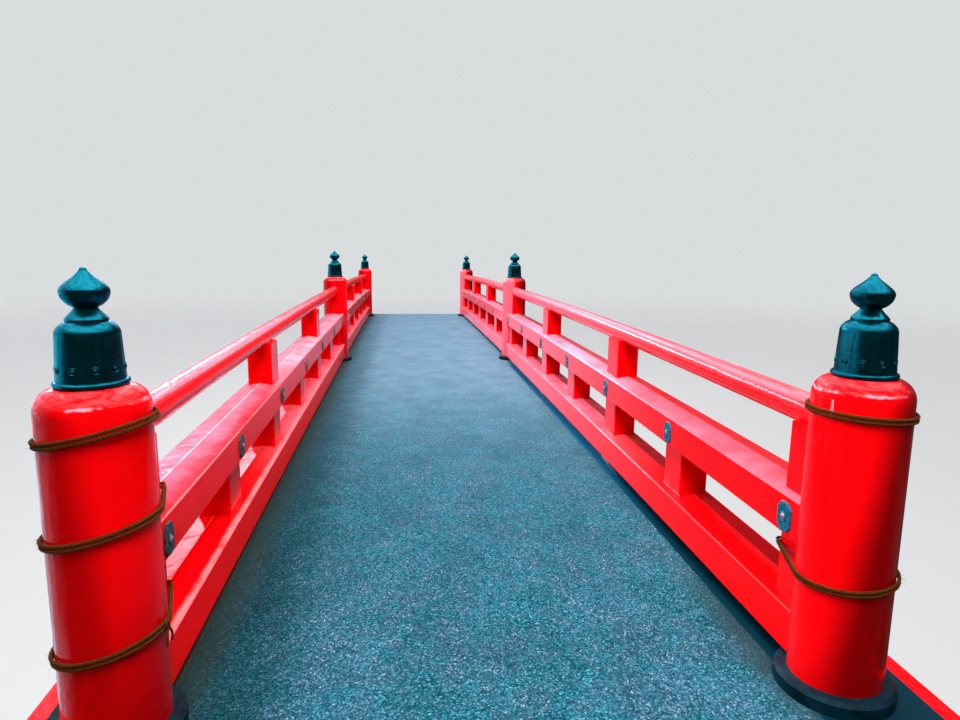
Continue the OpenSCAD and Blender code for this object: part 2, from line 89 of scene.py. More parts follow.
def reach(name):
    """The lowest and highest point of a node, above the walkway's arc and square to it."""
    arc_heights = [math.hypot(v.co.y, v.co.z - CROWN_Z + ARC_R) - ARC_R for v in NODES[name].data.vertices]
    return min(arc_heights), max(arc_heights)


PLANKS_LOW, PLANKS_TOP = reach("deck_planks")
BOTTOM_RIDGE = reach("bottom_rail_left_near")[1]
MID_LOW, MID_RIDGE = reach("mid_rail_left_near")
BOTTOM_W = width("bottom_rail_left_near")
MID_W = width("mid_rail_left_near")

# Place of the camera and its turns in degrees, from the same fit to the photograph as the sizes
CAMERA_AT = (-0.249, -BAY - 1.624, DECK_Z + 1.217)
CAMERA_YAW, CAMERA_PITCH, CAMERA_ROLL = 6.62, 9.10, 0.62
FOCAL_PX = 665.5
FRAME_PX = 960
SENSOR_MM = 36


def on_arc(x, y, h):
    """A point of the railing: h above the walkway, measured square to its arc."""
    a = math.asin(y / ARC_R)
    r = ARC_R + h
    return Vector((x, r * math.sin(a), CROWN_Z - ARC_R + r * math.cos(a)))


def unit(rows):
    """The same directions, each with a length of 1."""
    return rows / np.linalg.norm(rows, axis=1)[:, None]


class Mesh:
    """Collects points and faces of one piece."""

    def __init__(self):
        self.points = []
        self.faces = []

    def add(self, points, faces, matrix=None):
        start = len(self.points)
        for p in points:
            p = Vector(p)
            self.points.append(matrix @ p if matrix else p)
        self.faces.extend([tuple(start + i for i in f) for f in faces])

    def lathe(self, outline, sides, matrix=None):
        """Turns an outline of (radius, height) pairs about Z. Ends on the axis are closed."""
        points = []
        rings = []
        for r, z in outline:
            if r < 1e-6:
                rings.append([len(points)] * sides)
                points.append((0, 0, z))
            else:
                rings.append(list(range(len(points), len(points) + sides)))
                for k in range(sides):
                    t = 2 * math.pi * k / sides
                    points.append((r * math.cos(t), r * math.sin(t), z))
        faces = []
        for a, b in zip(rings, rings[1:]):
            for k in range(sides):
                m = (k + 1) % sides
                face = [a[k], a[m], b[m], b[k]]
                face = [i for n, i in enumerate(face) if i not in face[:n]]
                if len(face) > 2:
                    faces.append(face)
        self.add(points, faces, matrix)

    def tube(self, centres, radii, sides, closed=False):
        """A tube through points, with rings square to its way."""
        pts = np.array(centres, float)
        n = len(pts)
        ways = unit(np.roll(pts, -1, 0) - np.roll(pts, 1, 0) if closed else np.gradient(pts, axis=0))
        side = np.cross(ways[0], (0.13, 0.21, 0.97))
        rings = []
        for i in range(n):
            side = side - ways[i] * np.dot(side, ways[i])
            side /= np.linalg.norm(side)
            other = np.cross(ways[i], side)
            t = np.linspace(0, 2 * math.pi, sides, endpoint=False)
            r = radii[i] if hasattr(radii, "__len__") else radii
            rings.append(pts[i] + r * (np.outer(np.cos(t), side) + np.outer(np.sin(t), other)))
        faces = []
        for i in range(n if closed else n - 1):
            j = (i + 1) % n
            turn = 0
            if closed and j == 0:
                gaps = [np.linalg.norm(rings[0][s] - rings[i][0]) for s in range(sides)]
                turn = int(np.argmin(gaps))
            for k in range(sides):
                m = (k + 1) % sides
                faces.append((i * sides + k, i * sides + m,
                              j * sides + (m + turn) % sides, j * sides + (k + turn) % sides))
        if not closed:
            faces.append(tuple(reversed(range(sides))))
            faces.append(tuple((n - 1) * sides + k for k in range(sides)))
        self.add([tuple(p) for ring in rings for p in ring], faces)

    def prism(self, outline, low, high, matrix=None, inset=0.0):
        """A straight piece with this outline in X and Y. Its top may be drawn in a little."""
        n = len(outline)
        mx = sum(x for x, _ in outline) / n
        my = sum(y for _, y in outline) / n
        points = [(x, y, low) for x, y in outline]
        if inset:
            points += [(x, y, high - inset) for x, y in outline]
        for x, y in outline:
            k = 1 - inset / math.hypot(x - mx, y - my)
            points.append((mx + (x - mx) * k, my + (y - my) * k, high))
        faces = [tuple(reversed(range(n))), tuple(range(len(points) - n, len(points)))]
        for s in range(0, len(points) - n, n):
            faces += [(s + i, s + (i + 1) % n, s + n + (i + 1) % n, s + n + i) for i in range(n)]
        self.add(points, faces, matrix)

    def box(self, low, high, matrix=None):
        (x0, y0, z0), (x1, y1, z1) = low, high
        self.prism([(x0, y0), (x1, y0), (x1, y1), (x0, y1)], z0, z1, matrix)

    def grid(self, point, across, along):
        """A sheet of point(u, v) with u and v from 0 to 1."""
        points = [point(i / across, j / along) for j in range(along + 1) for i in range(across + 1)]
        row = across + 1
        faces = [(j * row + i, j * row + i + 1, (j + 1) * row + i + 1, (j + 1) * row + i)
                 for j in range(along) for i in range(across)]
        self.add(points, faces)

    def object(self, name, material, bevel=0, smooth_angle=35):
        """Makes the Blender object, with bevelled edges where bevel is more than 0."""
        mesh = bpy.data.meshes.new(name)
        mesh.from_pydata([tuple(p) for p in self.points], [], self.faces)
        mesh.validate()
        mesh.materials.append(material)
        piece = bpy.data.objects.new(name, mesh)
        bpy.context.scene.collection.objects.link(piece)
        if bevel:
            bm = bmesh.new()
            bm.from_mesh(mesh)
            sharp = [e for e in bm.edges if e.calc_face_angle(0) > math.radians(smooth_angle)]
            bmesh.ops.bevel(bm, geom=sharp, offset=bevel, segments=2, profile=0.6, affect="EDGES",
                            clamp_overlap=True)
            bm.to_mesh(mesh)
            bm.free()
        mesh.shade_smooth()
        mesh.set_sharp_from_angle(angle=math.radians(smooth_angle))
        return piece


def keep(piece, slot, *nodes):
    """The piece moves with the bridge and stands for these nodes, which it hides. slot is not used."""
    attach(piece, "root")
    if nodes:
        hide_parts(*nodes)


class Nodes:
    """A tree of shader nodes, made by short calls. place is the kind of coordinates that it uses."""

    def __init__(self, tree, place):
        self.tree = tree
        self.place = self.node("ShaderNodeTexCoord").outputs[place]
        self.x, self.y, self.z = self.node("ShaderNodeSeparateXYZ", {0: self.place}).outputs

    def node(self, kind, inputs=None, **settings):
        made = self.tree.nodes.new(kind)
        for key, value in settings.items():
            setattr(made, key, value)
        for key, value in (inputs or {}).items():
            self.put(made.inputs[key], value)
        return made

    def put(self, socket, value):
        """Links the socket, or sets its value. A colour is given without its alpha."""
        if isinstance(value, bpy.types.NodeSocket):
            self.tree.links.new(value, socket)
        elif socket.type == "RGBA":
            socket.default_value = (*value, 1)
        else:
            socket.default_value = value

    def scaled(self, scale):
        return self.node("ShaderNodeMapping", {"Vector": self.place, "Scale": scale}).outputs["Vector"]

    def noise(self, scale, detail=3.0, roughness=0.5, distortion=0.0):
        """Noise of one scale, or of three scales along X, Y and Z."""
        place = self.place
        if isinstance(scale, tuple):
            place = self.scaled(scale)
            scale = 1.0
        return self.node("ShaderNodeTexNoise", {
            "Vector": place, "Scale": scale, "Detail": detail, "Roughness": roughness,
            "Distortion": distortion}).outputs["Fac"]

    def cells(self, scale, output="Distance", place=None, feature="F1"):
        made = self.node("ShaderNodeTexVoronoi", {"Vector": place or self.place, "Scale": scale},
                         feature=feature)
        return made.outputs[output]

    def math(self, operation, a, b=0.0):
        return self.node("ShaderNodeMath", {0: a, 1: b}, operation=operation).outputs[0]

    def plus(self, a, b):
        return self.math("ADD", a, b)

    def minus(self, a, b):
        return self.math("SUBTRACT", a, b)

    def times(self, *values):
        product = values[0]
        for value in values[1:]:
            product = self.math("MULTIPLY", product, value)
        return product

    def vector(self, operation, inputs):
        return self.node("ShaderNodeVectorMath", inputs, operation=operation)

    def scale(self, vector, factor):
        return self.vector("SCALE", {0: vector, "Scale": factor}).outputs[0]

    def along(self, direction):
        """How far the place lies in this direction."""
        return self.vector("DOT_PRODUCT", {0: self.place, 1: direction}).outputs["Value"]

    def fade(self, value, low, high, to_low=0.0, to_high=1.0):
        """to_low to to_high as the value goes from low to high, smoothly."""
        return self.node("ShaderNodeMapRange", {
            "Value": value, "From Min": low, "From Max": high, "To Min": to_low, "To Max": to_high,
        }, interpolation_type="SMOOTHSTEP").outputs["Result"]

    def mix(self, fac, a, b, kind="MIX"):
        return self.node("ShaderNodeMix", {"Factor": fac, "A": a, "B": b},
                         data_type="RGBA", blend_type=kind).outputs["Result"]

    def blend(self, value, low, high, a, b, most=1.0):
        """Colour a to colour b as the value goes from low to high."""
        return self.mix(self.fade(value, low, high, 0.0, most), a, b)

    def ramp(self, value, *stops):
        """Colours at places from 0 to 1, in rising order."""
        made = self.node("ShaderNodeValToRGB", {"Fac": value})
        ends = made.color_ramp.elements
        for end, (position, color) in zip(ends, (stops[0], stops[-1])):
            end.position = position
            end.color = (*color, 1)
        for position, color in stops[1:-1]:
            ends.new(position).color = (*color, 1)
        return made.outputs["Color"]


class Paint(Nodes):
    """A material. Places are in metres, in the bridge's frame."""

    def __init__(self, name):
        self.material = bpy.data.materials.new(name)
        self.material.use_nodes = True
        super().__init__(self.material.node_tree, "Object")
        self.shader = self.tree.nodes["Principled BSDF"]

    def set(self, **values):
        """Sets the shader's sockets: a word's _ stands for a space."""
        for key, value in values.items():
            self.put(self.shader.inputs[key.replace("_", " ")], value)

    def normal(self, axis):
        normal = self.node("ShaderNodeNewGeometry").outputs["Normal"]
        return self.node("ShaderNodeSeparateXYZ", {0: normal}).outputs[axis]

    def done(self, color, roughness, *layers, **values):
        """Sets the shader and gives the material. Each layer is a bump's height and its distance."""
        self.set(Base_Color=color, Roughness=roughness, **values)
        under = {}
        for height, distance in layers:
            made = self.node("ShaderNodeBump", {"Height": height, "Distance": distance, **under})
            under = {"Normal": made.outputs["Normal"]}
        self.set(**under)
        return self.material


# Scales of brush marks and grain, which run long along one axis
ALONG = (45, 1.6, 45)
UPRIGHT = (45, 45, 1.6)
ACROSS = (1.6, 45, 45)

SALMON = (0.95, 0.15, 0.16)
PINK = (0.95, 0.22, 0.28)
# Pale pink of painted highlights and painted reflections
HIGHLIGHT_PINK = (0.95, 0.52, 0.62)
LAVENDER = (0.56, 0.23, 0.37)
# A paler red, painted light
PAINTED_LIT_RED = (0.93, 0.115, 0.165)
# A dark red, painted shade
PAINTED_SHADE_RED = (0.10, 0.0003, 0.0006)
SPECK = (0.10, 0.004, 0.004)


class RedPaint(Paint):
    """Thick gloss vermilion on timber. grain scales the brush marks, long along the wood."""

    def __init__(self, name, grain):
        super().__init__(name)
        self.streaks = self.noise(grain, 6.0, 0.65)
        self.up = self.normal("Z")
        self.outward = self.minus(self.math("ABSOLUTE", self.x), RAIL_X)
        self.color = self.blend(self.noise(1.7, 4.0, 0.6), 0.3, 0.7,
                                (0.80, 0.0008, 0.0022), (0.92, 0.0012, 0.0034))
        # Painted light: past the near posts, what faces the left on the right side is painted a paler, lit
        # red
        lit_reach = self.fade(self.y, 0.7 - BAY, -0.25 * BAY)
        right = self.fade(self.x, 0.0, 0.2)
        facing_left = self.fade(self.normal("X"), -0.22, -0.05, 0.9, 0.0)
        self.cover(self.times(lit_reach, right, facing_left), PAINTED_LIT_RED)

    def cover(self, mask, color):
        self.color = self.mix(mask, self.color, color)

    def finish(self, gloss=0.07, tint=(1.0, 0.05, 0.09), ior=1.3):
        """Fine dark specks, the gloss, and the relief of brush marks and thick paint."""
        specks = self.fade(self.noise(210, 2.0), 0.68, 0.76)
        self.cover(self.times(specks, self.fade(self.noise(9), 0.5, 0.7), 0.4), SPECK)
        return self.done(self.color, self.fade(self.streaks, 0.3, 0.8, gloss, gloss + 0.07),
                         (self.noise(9.0, 2.0), 0.0030), (self.noise(34.0, 3.0, 0.55), 0.0012),
                         (self.streaks, 0.0005), IOR=ior, Specular_Tint=tint)


def red_paint(name, grain):
    return RedPaint(name, grain).finish()


def red_rail(name, half_w, ior, edge, ridge, film, far_sheen):
    """A gabled rail with lines along its edges and its ridge, partly wear and partly painted highlight.

    edge and ridge each give such a line's half width, colour and strength. film gives the colour
    of the painted reflection and painted light on its upward slopes, its strength at the inner edge
    and on the outer slope, and the share of the half width at which it starts to change. The last
    argument gives that colour and least strength farther on.
    """
    p = RedPaint(name, ALONG)
    upper = p.fade(p.up, 0.25, 0.5)
    color, inner, outer, start = film
    far_color, far_strength = far_sheen
    # Painted reflection and painted light on the upward slopes, stronger and paler farther on
    patches = p.fade(p.noise(7.0, 4.0, 0.6), 0.3, 0.7, 0.5, 1.0)
    away = p.fade(p.y, -0.82 * BAY, -0.50 * BAY)
    strength = p.fade(p.outward, start * half_w, 0.25 * half_w, inner, outer)
    strength = p.math("MAXIMUM", strength, p.times(away, far_strength))
    p.cover(p.times(upper, patches, strength), p.mix(away, color, far_color))
    from_axis = p.math("ABSOLUTE", p.outward)
    broken = p.fade(p.noise((30, 9, 30), 4.0, 0.6), 0.30, 0.52, 0.35, 1.0)
    # Lines along the edges and the ridge: partly wear, partly painted highlight
    for offset, (line_w, color, strength) in ((half_w, edge), (0.0, ridge)):
        from_line = p.math("ABSOLUTE", p.minus(from_axis, offset))
        wander = p.minus(p.noise((26, 7, 26), 4.0, 0.6), 0.5)
        line = p.fade(p.plus(from_line, p.times(wander, line_w)), 0.35 * line_w, line_w, strength, 0.0)
        p.cover(p.times(line, broken, upper), color)
    return p.finish(ior=ior)


def red_top_rail():
    p = RedPaint("red_top_rail", ALONG)
    # Painted light: the upward-facing top is painted salmon, in long streaks
    worn = p.fade(p.noise((60, 2.5, 60), 5.0, 0.65), 0.35, 0.65, 0.30, 0.85)
    p.cover(p.times(worn, p.fade(p.up, 0.40, 0.95)), (0.93, 0.14, 0.18))
    return p.finish(0.06, (1.0, 0.75, 0.85), 1.5)


SHOULDER_H = 0.037


def red_post():
    """A post: painted reflection in patches on its shoulder, a painted highlight along its lip, and painted
    shade on its outer side and at the feet of the left posts.
    """
    p = RedPaint("red_post", UPRIGHT)
    place = p.math("ROUND", p.times(p.y, 1 / BAY))
    top = p.minus(POST_TOP + CAMBER, p.times(place, place, CAMBER))
    wander = p.minus(p.noise(38.0, 4.0, 0.6), 0.5)
    ragged = p.plus(p.minus(top, p.z), p.times(wander, 0.016))
    shoulder = p.fade(ragged, SHOULDER_H - 0.005, SHOULDER_H + 0.001, 1.0, 0.0)
    # Painted reflection in patches on the shoulder, and a painted highlight along its lip
    reflection_strokes = p.noise((15, 15, 80), 5.0, 0.7, 0.6)
    p.cover(p.times(shoulder, p.fade(reflection_strokes, 0.40, 0.62), 0.24), SALMON)
    p.cover(p.times(shoulder, p.fade(reflection_strokes, 0.62, 0.72), 0.85), HIGHLIGHT_PINK)
    from_lip = p.math("ABSOLUTE", p.minus(ragged, SHOULDER_H - 0.004))
    lip = p.fade(from_lip, 0.001, 0.005, 1.0, 0.0)
    p.cover(p.times(lip, p.fade(p.noise(12.0, 3.0, 0.6), 0.42, 0.58)), PINK)
    # Painted shade: the outer side is painted dark red, more widely lower down, and so are the feet of the
    # left posts
    above_deck = p.minus(p.z, DECK_Z)
    leaning = p.plus(p.outward, p.times(p.minus(0.65, above_deck), 0.14))
    right = p.fade(p.x, -0.2, 0.2)
    outer = p.times(p.fade(leaning, -0.065, 0.035), p.fade(right, 0.0, 1.0, 0.60, 0.86))
    foot = p.times(p.fade(above_deck, 0.08, 0.62, 0.60, 0.0), p.minus(1.0, right))
    p.cover(p.math("MAXIMUM", outer, foot), PAINTED_SHADE_RED)
    return p.finish()


# Painted highlight: pink painted in patches on the pale paint runs
def highlit_runs():
    p = RedPaint("highlit_runs", UPRIGHT)
    p.cover(p.fade(p.noise(60.0, 3.0, 0.6), 0.30, 0.60, 0.45, 0.9), PINK)
    return p.finish()


def patina():
    """Polished dark blue-green metal, browner in places."""
    p = Paint("patina")
    base = p.blend(p.noise(14.0, 4.0, 0.6), 0.3, 0.7, (0.0032, 0.096, 0.128), (0.0042, 0.156, 0.202))
    base = p.blend(p.noise(38.0, 5.0, 0.7), 0.56, 0.74, base, (0.012, 0.030, 0.032), 0.4)
    return p.done(base, p.fade(p.noise(24.0, 4.0, 0.6), 0.3, 0.75, 0.17, 0.30),
                  (p.noise(160.0), 0.0003), (p.noise(22.0, 3.0, 0.6), 0.0016),
                  Metallic=0.98, Specular_Tint=(0.55, 0.90, 1.0))


def pale_metal():
    """The worn domes of the nail covers."""
    p = Paint("pale_metal")
    base = p.blend(p.noise(120.0, 3.0, 0.6), 0.4, 0.65, (0.52, 0.36, 0.38), (0.16, 0.17, 0.20))
    return p.done(base, p.fade(p.noise(90.0), 0.3, 0.7, 0.28, 0.45), (p.noise(200.0), 0.0004), Metallic=0.7)


def dark_nails():
    p = Paint("dark_nails")
    base = p.blend(p.noise(150.0, 3.0, 0.6), 0.35, 0.7, (0.010, 0.022, 0.030), (0.045, 0.050, 0.055))
    return p.done(base, p.fade(p.noise(90.0), 0.3, 0.7, 0.32, 0.5), Metallic=0.6)


def cover_metal():
    """The plates over the rails' nails: blue-green on the right, dull grey-green on the left, and
    worn grey farther on."""
    p = Paint("cover_metal")
    tone = p.noise(70.0, 5.0, 0.65)
    teal = p.blend(tone, 0.38, 0.64, (0.002, 0.075, 0.140), (0.008, 0.170, 0.270))
    grey = p.blend(tone, 0.42, 0.70, (0.016, 0.028, 0.028), (0.100, 0.125, 0.115))
    worn = p.blend(tone, 0.42, 0.60, (0.035, 0.024, 0.038), (0.26, 0.23, 0.30))
    base = p.blend(p.x, -0.2, 0.2, grey, teal)
    base = p.blend(p.y, -0.72 * BAY, -0.45 * BAY, base, worn, 0.8)
    return p.done(base, p.fade(tone, 0.3, 0.7, 0.28, 0.45), (p.noise(120.0), 0.0006), Metallic=0.3)


def collar_metal():
    """Dark metal with dust on what faces up."""
    p = Paint("collar_metal")
    base = p.blend(p.noise(11.0, 5.0, 0.6), 0.35, 0.7, (0.0006, 0.006, 0.010), (0.0016, 0.017, 0.027))
    dust = p.times(p.fade(p.normal("Z"), 0.4, 0.95), p.fade(p.noise(60.0, 5.0, 0.7), 0.5, 0.8), 0.14)
    base = p.mix(dust, base, (0.035, 0.055, 0.065))
    return p.done(base, p.fade(p.noise(45.0), 0.3, 0.7, 0.34, 0.50), (p.noise(120.0), 0.0006),
                  Specular_IOR_Level=0.1)


GRIT_CELLS = 200.0
COAT_NEAR, COAT_FAR = 0.026, 0.022
STAIN_REACH = 0.30
DIRT_IN, DIRT_OUT = 0.10, 0.42


def surfacing():
    """Resin-bound grit: stone chips in a dark blue-green binder.

    A smooth coat runs along the right rail. Dirt has darkened the grit beside the left one, and close by
    that rail a painted shadow darkens it more. Farther on the grit is painted paler and brighter: painted
    light.
    """
    p = Paint("surfacing")
    tone = p.node("ShaderNodeSeparateColor", {0: p.cells(GRIT_CELLS, "Color")}).outputs
    teal = p.ramp(tone[0], (0.0, (0.0006, 0.020, 0.030)), (0.35, (0.0015, 0.044, 0.062)),
                  (0.70, (0.008, 0.092, 0.125)), (0.92, (0.030, 0.160, 0.220)), (1.0, (0.11, 0.25, 0.34)))
    grey = p.ramp(tone[1], (0.0, (0.003, 0.022, 0.038)), (0.40, (0.008, 0.048, 0.078)),
                  (0.75, (0.024, 0.094, 0.142)), (0.95, (0.085, 0.17, 0.24)), (1.0, (0.24, 0.27, 0.34)))
    patches = p.plus(p.noise(14.0, 5.0, 0.62), p.times(p.noise(3.0), 0.5))
    grit = p.blend(patches, 0.62, 0.90, teal, grey)
    # Painted light: farther on, the grit is painted paler blue, a painted sky reflection, and brighter,
    # darker at the near end
    grit = p.blend(p.y, -0.78 * BAY, -0.05 * BAY, grit, (0.100, 0.160, 0.225), 0.62)
    shade = p.times(p.fade(p.noise(5.0, 5.0, 0.6), 0.30, 0.70, 0.86, 1.14),
                    p.fade(p.y, -0.85 * BAY, -0.15 * BAY, 0.85, 1.10))
    grit = p.scale(grit, shade)
    wander = p.times(p.minus(p.noise(7.0, 5.0, 0.65), 0.5), 0.22)

    inner_x = RAIL_X - BOTTOM_W / 2
    from_left = p.plus(p.x, inner_x)
    dirt = p.times(p.fade(p.plus(from_left, wander), DIRT_IN, DIRT_OUT, 0.90, 0.0),
                   p.fade(p.y, -BAY, BAY, 1.0, 0.55))
    grit = p.mix(dirt, grit, (0.08, 0.30, 0.28), "MULTIPLY")
    # Painted shadow with dirt: close by the left rail the grit is painted nearly black
    dirt_and_shade_by_rail = p.fade(p.plus(from_left, p.times(wander, 0.5)), 0.01, 0.15, 0.70, 0.0)
    grit = p.mix(dirt_and_shade_by_rail, grit, (0.011, 0.017, 0.014))

    from_right = p.minus(inner_x, p.x)
    stain = p.times(p.fade(p.plus(from_right, wander), 0.02, 0.16, 0.85, 0.0),
                    p.fade(p.y, -BAY + STAIN_REACH, -BAY + 3 * STAIN_REACH, 1.0, 0.15))
    grit = p.mix(stain, grit, (0.014, 0.026, 0.032))
    coat_w = p.fade(p.y, -0.92 * BAY, -0.6 * BAY, COAT_NEAR, COAT_FAR)
    edge = p.minus(p.plus(from_right, p.times(p.noise(30.0), 0.012)), coat_w)
    coat = p.times(p.fade(edge, -0.003, 0.003, 1.0, 0.0), p.fade(p.y, -0.10 * BAY, -0.02 * BAY, 1.0, 0.0))
    coat_color = p.blend(p.y, -0.85 * BAY, -0.55 * BAY, (0.0005, 0.014, 0.022), (0.0004, 0.050, 0.110))
    lumps = p.plus(p.minus(1.0, p.cells(GRIT_CELLS)), p.noise(420.0, 2.0))
    return p.done(p.mix(coat, grit, coat_color), p.fade(coat, 0.0, 1.0, 0.70, 0.50),
                  (p.noise(5.0, 4.0), 0.006), (p.times(lumps, p.minus(1.0, coat)), 0.0012), IOR=1.15)


def silt():
    """Dark dirt and loose grit that has gathered under the bottom rails."""
    p = Paint("silt")
    color = p.ramp(p.noise(160.0, 5.0, 0.7), (0.30, (0.006, 0.006, 0.005)),
                   (0.55, (0.026, 0.021, 0.015)), (0.78, (0.085, 0.085, 0.080)))
    return p.done(color, 0.92, (p.noise(300.0, 4.0, 0.7), 0.003))


def timber(name, grain):
    """Weathered timber: grain along one axis, drying cracks and grey film."""
    p = Paint(name)
    rings = p.noise(grain, 6.0, 0.7, 0.4)
    color = p.blend(rings, 0.3, 0.7, (0.030, 0.020, 0.013), (0.110, 0.078, 0.050))
    color = p.blend(p.noise(2.3, 4.0, 0.6), 0.45, 0.7, color, (0.16, 0.15, 0.13), 0.5)
    cracks = p.fade(p.cells(0.35, place=p.scaled(grain), feature="DISTANCE_TO_EDGE"), 0.0, 0.035)
    color = p.mix(p.minus(1.0, cracks), color, (0.012, 0.009, 0.007))
    return p.done(color, p.fade(rings, 0.2, 0.8, 0.62, 0.86), (rings, 0.0016), (cracks, 0.002))


def foot_block():
    """The blocks under the bottom rails: dark timber under a thin pale blue-grey film."""
    p = Paint("foot_block")
    grain = p.noise((3, 70, 70), 6.0, 0.7, 0.4)
    color = p.blend(grain, 0.3, 0.7, (0.080, 0.105, 0.135), (0.20, 0.25, 0.31))
    return p.done(color, 0.7, (grain, 0.0012))


def stone():
    """Grey stone with dark grains and lichen."""
    p = Paint("stone")
    color = p.ramp(p.noise(2.6, 6.0, 0.65), (0.25, (0.16, 0.155, 0.145)), (0.5, (0.29, 0.28, 0.26)),
                   (0.75, (0.42, 0.41, 0.38)))
    color = p.mix(p.fade(p.cells(260.0), 0.0, 0.6, 0.4, 0.0), color, (0.06, 0.06, 0.065))
    color = p.blend(p.noise(7.0, 6.0, 0.7), 0.58, 0.68, color, (0.20, 0.23, 0.13), 0.6)
    return p.done(color, 0.88, (p.noise(26.0, 4.0, 0.6), 0.006), (p.noise(130.0, 5.0, 0.7), 0.003))


def mortar():
    p = Paint("mortar")
    grains = p.noise(180.0, 4.0, 0.7)
    return p.done(p.blend(grains, 0.3, 0.7, (0.13, 0.125, 0.115), (0.27, 0.26, 0.24)), 0.95, (grains, 0.002))


def rope_fibre():
    p = Paint("rope_fibre")
    fibre = p.noise(420.0, 4.0, 0.7)
    color = p.blend(fibre, 0.3, 0.7, (0.018, 0.0054, 0.0011), (0.104, 0.028, 0.005))
    color = p.blend(p.noise(11.0), 0.4, 0.7, color, (0.056, 0.024, 0.0055), 0.6)
    return p.done(color, 0.9, (fibre, 0.0012), Specular_IOR_Level=0.1)


RED_POST = red_post()
RED_ALONG = red_paint("red_along", ALONG)
RED_UPRIGHT = red_paint("red_upright", UPRIGHT)
PATINA = patina()
DARK_NAILS = dark_nails()
SURFACING = surfacing()
DARK_ACROSS = timber("dark_across", (3, 70, 70))
STONE = stone()
ROPE = rope_fibre()
NO_SHEEN = (SALMON, 0.0, 0.0, 0.0)

FINISH = {
    "post": RED_POST, "lower_struts": RED_UPRIGHT, "upper_struts": RED_UPRIGHT,
    "girder": RED_ALONG, "edge_board": RED_ALONG, "cross_beams": red_paint("red_across", ACROSS),
    # The rails' films and farther colours are painted reflection and painted light; the edge and ridge lines
    # are partly painted highlight
    "bottom_rail_left": red_rail(
        "red_bottom_left", BOTTOM_W / 2, 1.12, (0.026, SALMON, 0.95), (0.0020, SALMON, 0.4),
        NO_SHEEN, ((0.93, 0.19, 0.27), 0.75)),
    "bottom_rail_right": red_rail(
        "red_bottom_right", BOTTOM_W / 2, 1.2, (0.0030, SALMON, 0.3), (0.0020, SALMON, 0.3),
        NO_SHEEN, ((0.95, 0.20, 0.30), 0.6)),
    "mid_rail_left": red_rail(
        "red_mid_left", MID_W / 2, 1.12, (0.0050, SALMON, 0.9), (0.0036, HIGHLIGHT_PINK, 1.0),
        (LAVENDER, 0.10, 0.75, -1.0), ((0.60, 0.42, 0.56), 0.75)),
    "mid_rail_right": red_rail(
        "red_mid_right", MID_W / 2, 1.2, (0.0026, SALMON, 0.3), (0.0020, SALMON, 0.3),
        ((0.93, 0.120, 0.175), 0.80, 0.25, 0.0), ((0.95, 0.27, 0.40), 0.60)),
    "top_rail": red_top_rail(), "finial": PATINA, "nail_covers": PATINA, "post_collars": collar_metal(),
    "deck_surfacing": SURFACING, "deck_planks": DARK_ACROSS, "rail_feet": foot_block(),
    "pier_columns": timber("dark_upright", (70, 70, 3)), "pier_ties": DARK_ACROSS,
    "pier_cap": DARK_ACROSS, "bearing_sills": DARK_ACROSS, "abutment": STONE, "rope_lashings": ROPE,
}


def dress_nodes():
    """Gives each node that stays its material: the longest name that it starts with."""
    for name, node in NODES.items():
        key = max((k for k in FINISH if name.startswith(k)), key=len)
        node.data.materials.clear()
        node.data.materials.append(FINISH[key])


def polar(radius, degrees):
    t = math.radians(degrees)
    return radius * math.cos(t), radius * math.sin(t)


def dome(radius, rise, steps=3):
    """Outline of a low round head, from its sunk rim to its top."""
    turns = [math.pi / 2 * i / steps for i in range(steps + 1)]
    return [(radius, -0.001)] + [(radius * math.cos(t), rise * math.sin(t)) for t in turns]


def facing(at, out, up=(0, 0, 1)):
    """A frame at a point, with Z along out and Y near up."""
    z = Vector(out).normalized()
    x = Vector(up).cross(z).normalized()
    return Matrix.Translation(at) @ Matrix((x, z.cross(x), z)).transposed().to_4x4()


# A nail cover's plate, and the outlines of the ring, boss and nails on it, as (radius, height) pairs
COVER_CORNER = 0.018
COVER_CHAMFER = 0.0016
COVER_BOSS_H = 0.007
COVER_RING = ((0.0160, -0.001), (0.0160, 0.0018), (0.0135, 0.0030), (0.0120, 0.0018))
COVER_BOSS = [(0.0122, -0.001)] + dome(0.0120, 0.0068, 4)[1:]
COVER_NAIL = dome(0.0028, 0.0016, 2)
NAIL_INSET_X, NAIL_INSET_Y = 0.0085, 0.0090


def nail_covers():
    """Octagonal plates on the middle rails, each with small nails, a ring and a domed boss."""
    plates, domes, nails = Mesh(), Mesh(), Mesh()
    for low, high in islands("nail_covers"):
        middle = (low + high) / 2
        face = math.copysign(1, (abs(middle.x) - RAIL_X) * middle.x)
        foot = low.x if face > 0 else high.x
        thick = high.x - low.x - COVER_BOSS_H
        back = facing((foot, middle.y, middle.z), (face, 0, 0))
        front = back @ Matrix.Translation((0, 0, thick))
        x, y, c = (high.y - low.y) / 2, (high.z - low.z) / 2, COVER_CORNER
        plates.prism([(-x, c - y), (c - x, -y), (x - c, -y), (x, c - y),
                      (x, y - c), (x - c, y), (c - x, y), (-x, y - c)], 0, thick, back, COVER_CHAMFER)
        plates.lathe(COVER_RING, 20, front)
        domes.lathe(COVER_BOSS, 20, front)
        nail_x, nail_y = x - NAIL_INSET_X, y - NAIL_INSET_Y
        spots = [(0, s * nail_y) for s in SIDES]
        for u, v in ((nail_x, c / 1.6), (0.62 * nail_x, 0.80 * nail_y)):
            spots += [(sx * u, sy * v) for sx in SIDES for sy in SIDES]
        for u, v in spots:
            nails.lathe(COVER_NAIL, 7, front @ Matrix.Translation((u, v, 0)))
    keep(plates.object("nail_cover_plates", cover_metal()), "dark_patina", "nail_covers")
    keep(domes.object("nail_cover_domes", pale_metal()), "dark_patina")
    keep(nails.object("nail_cover_nails", DARK_NAILS), "dark_metal")


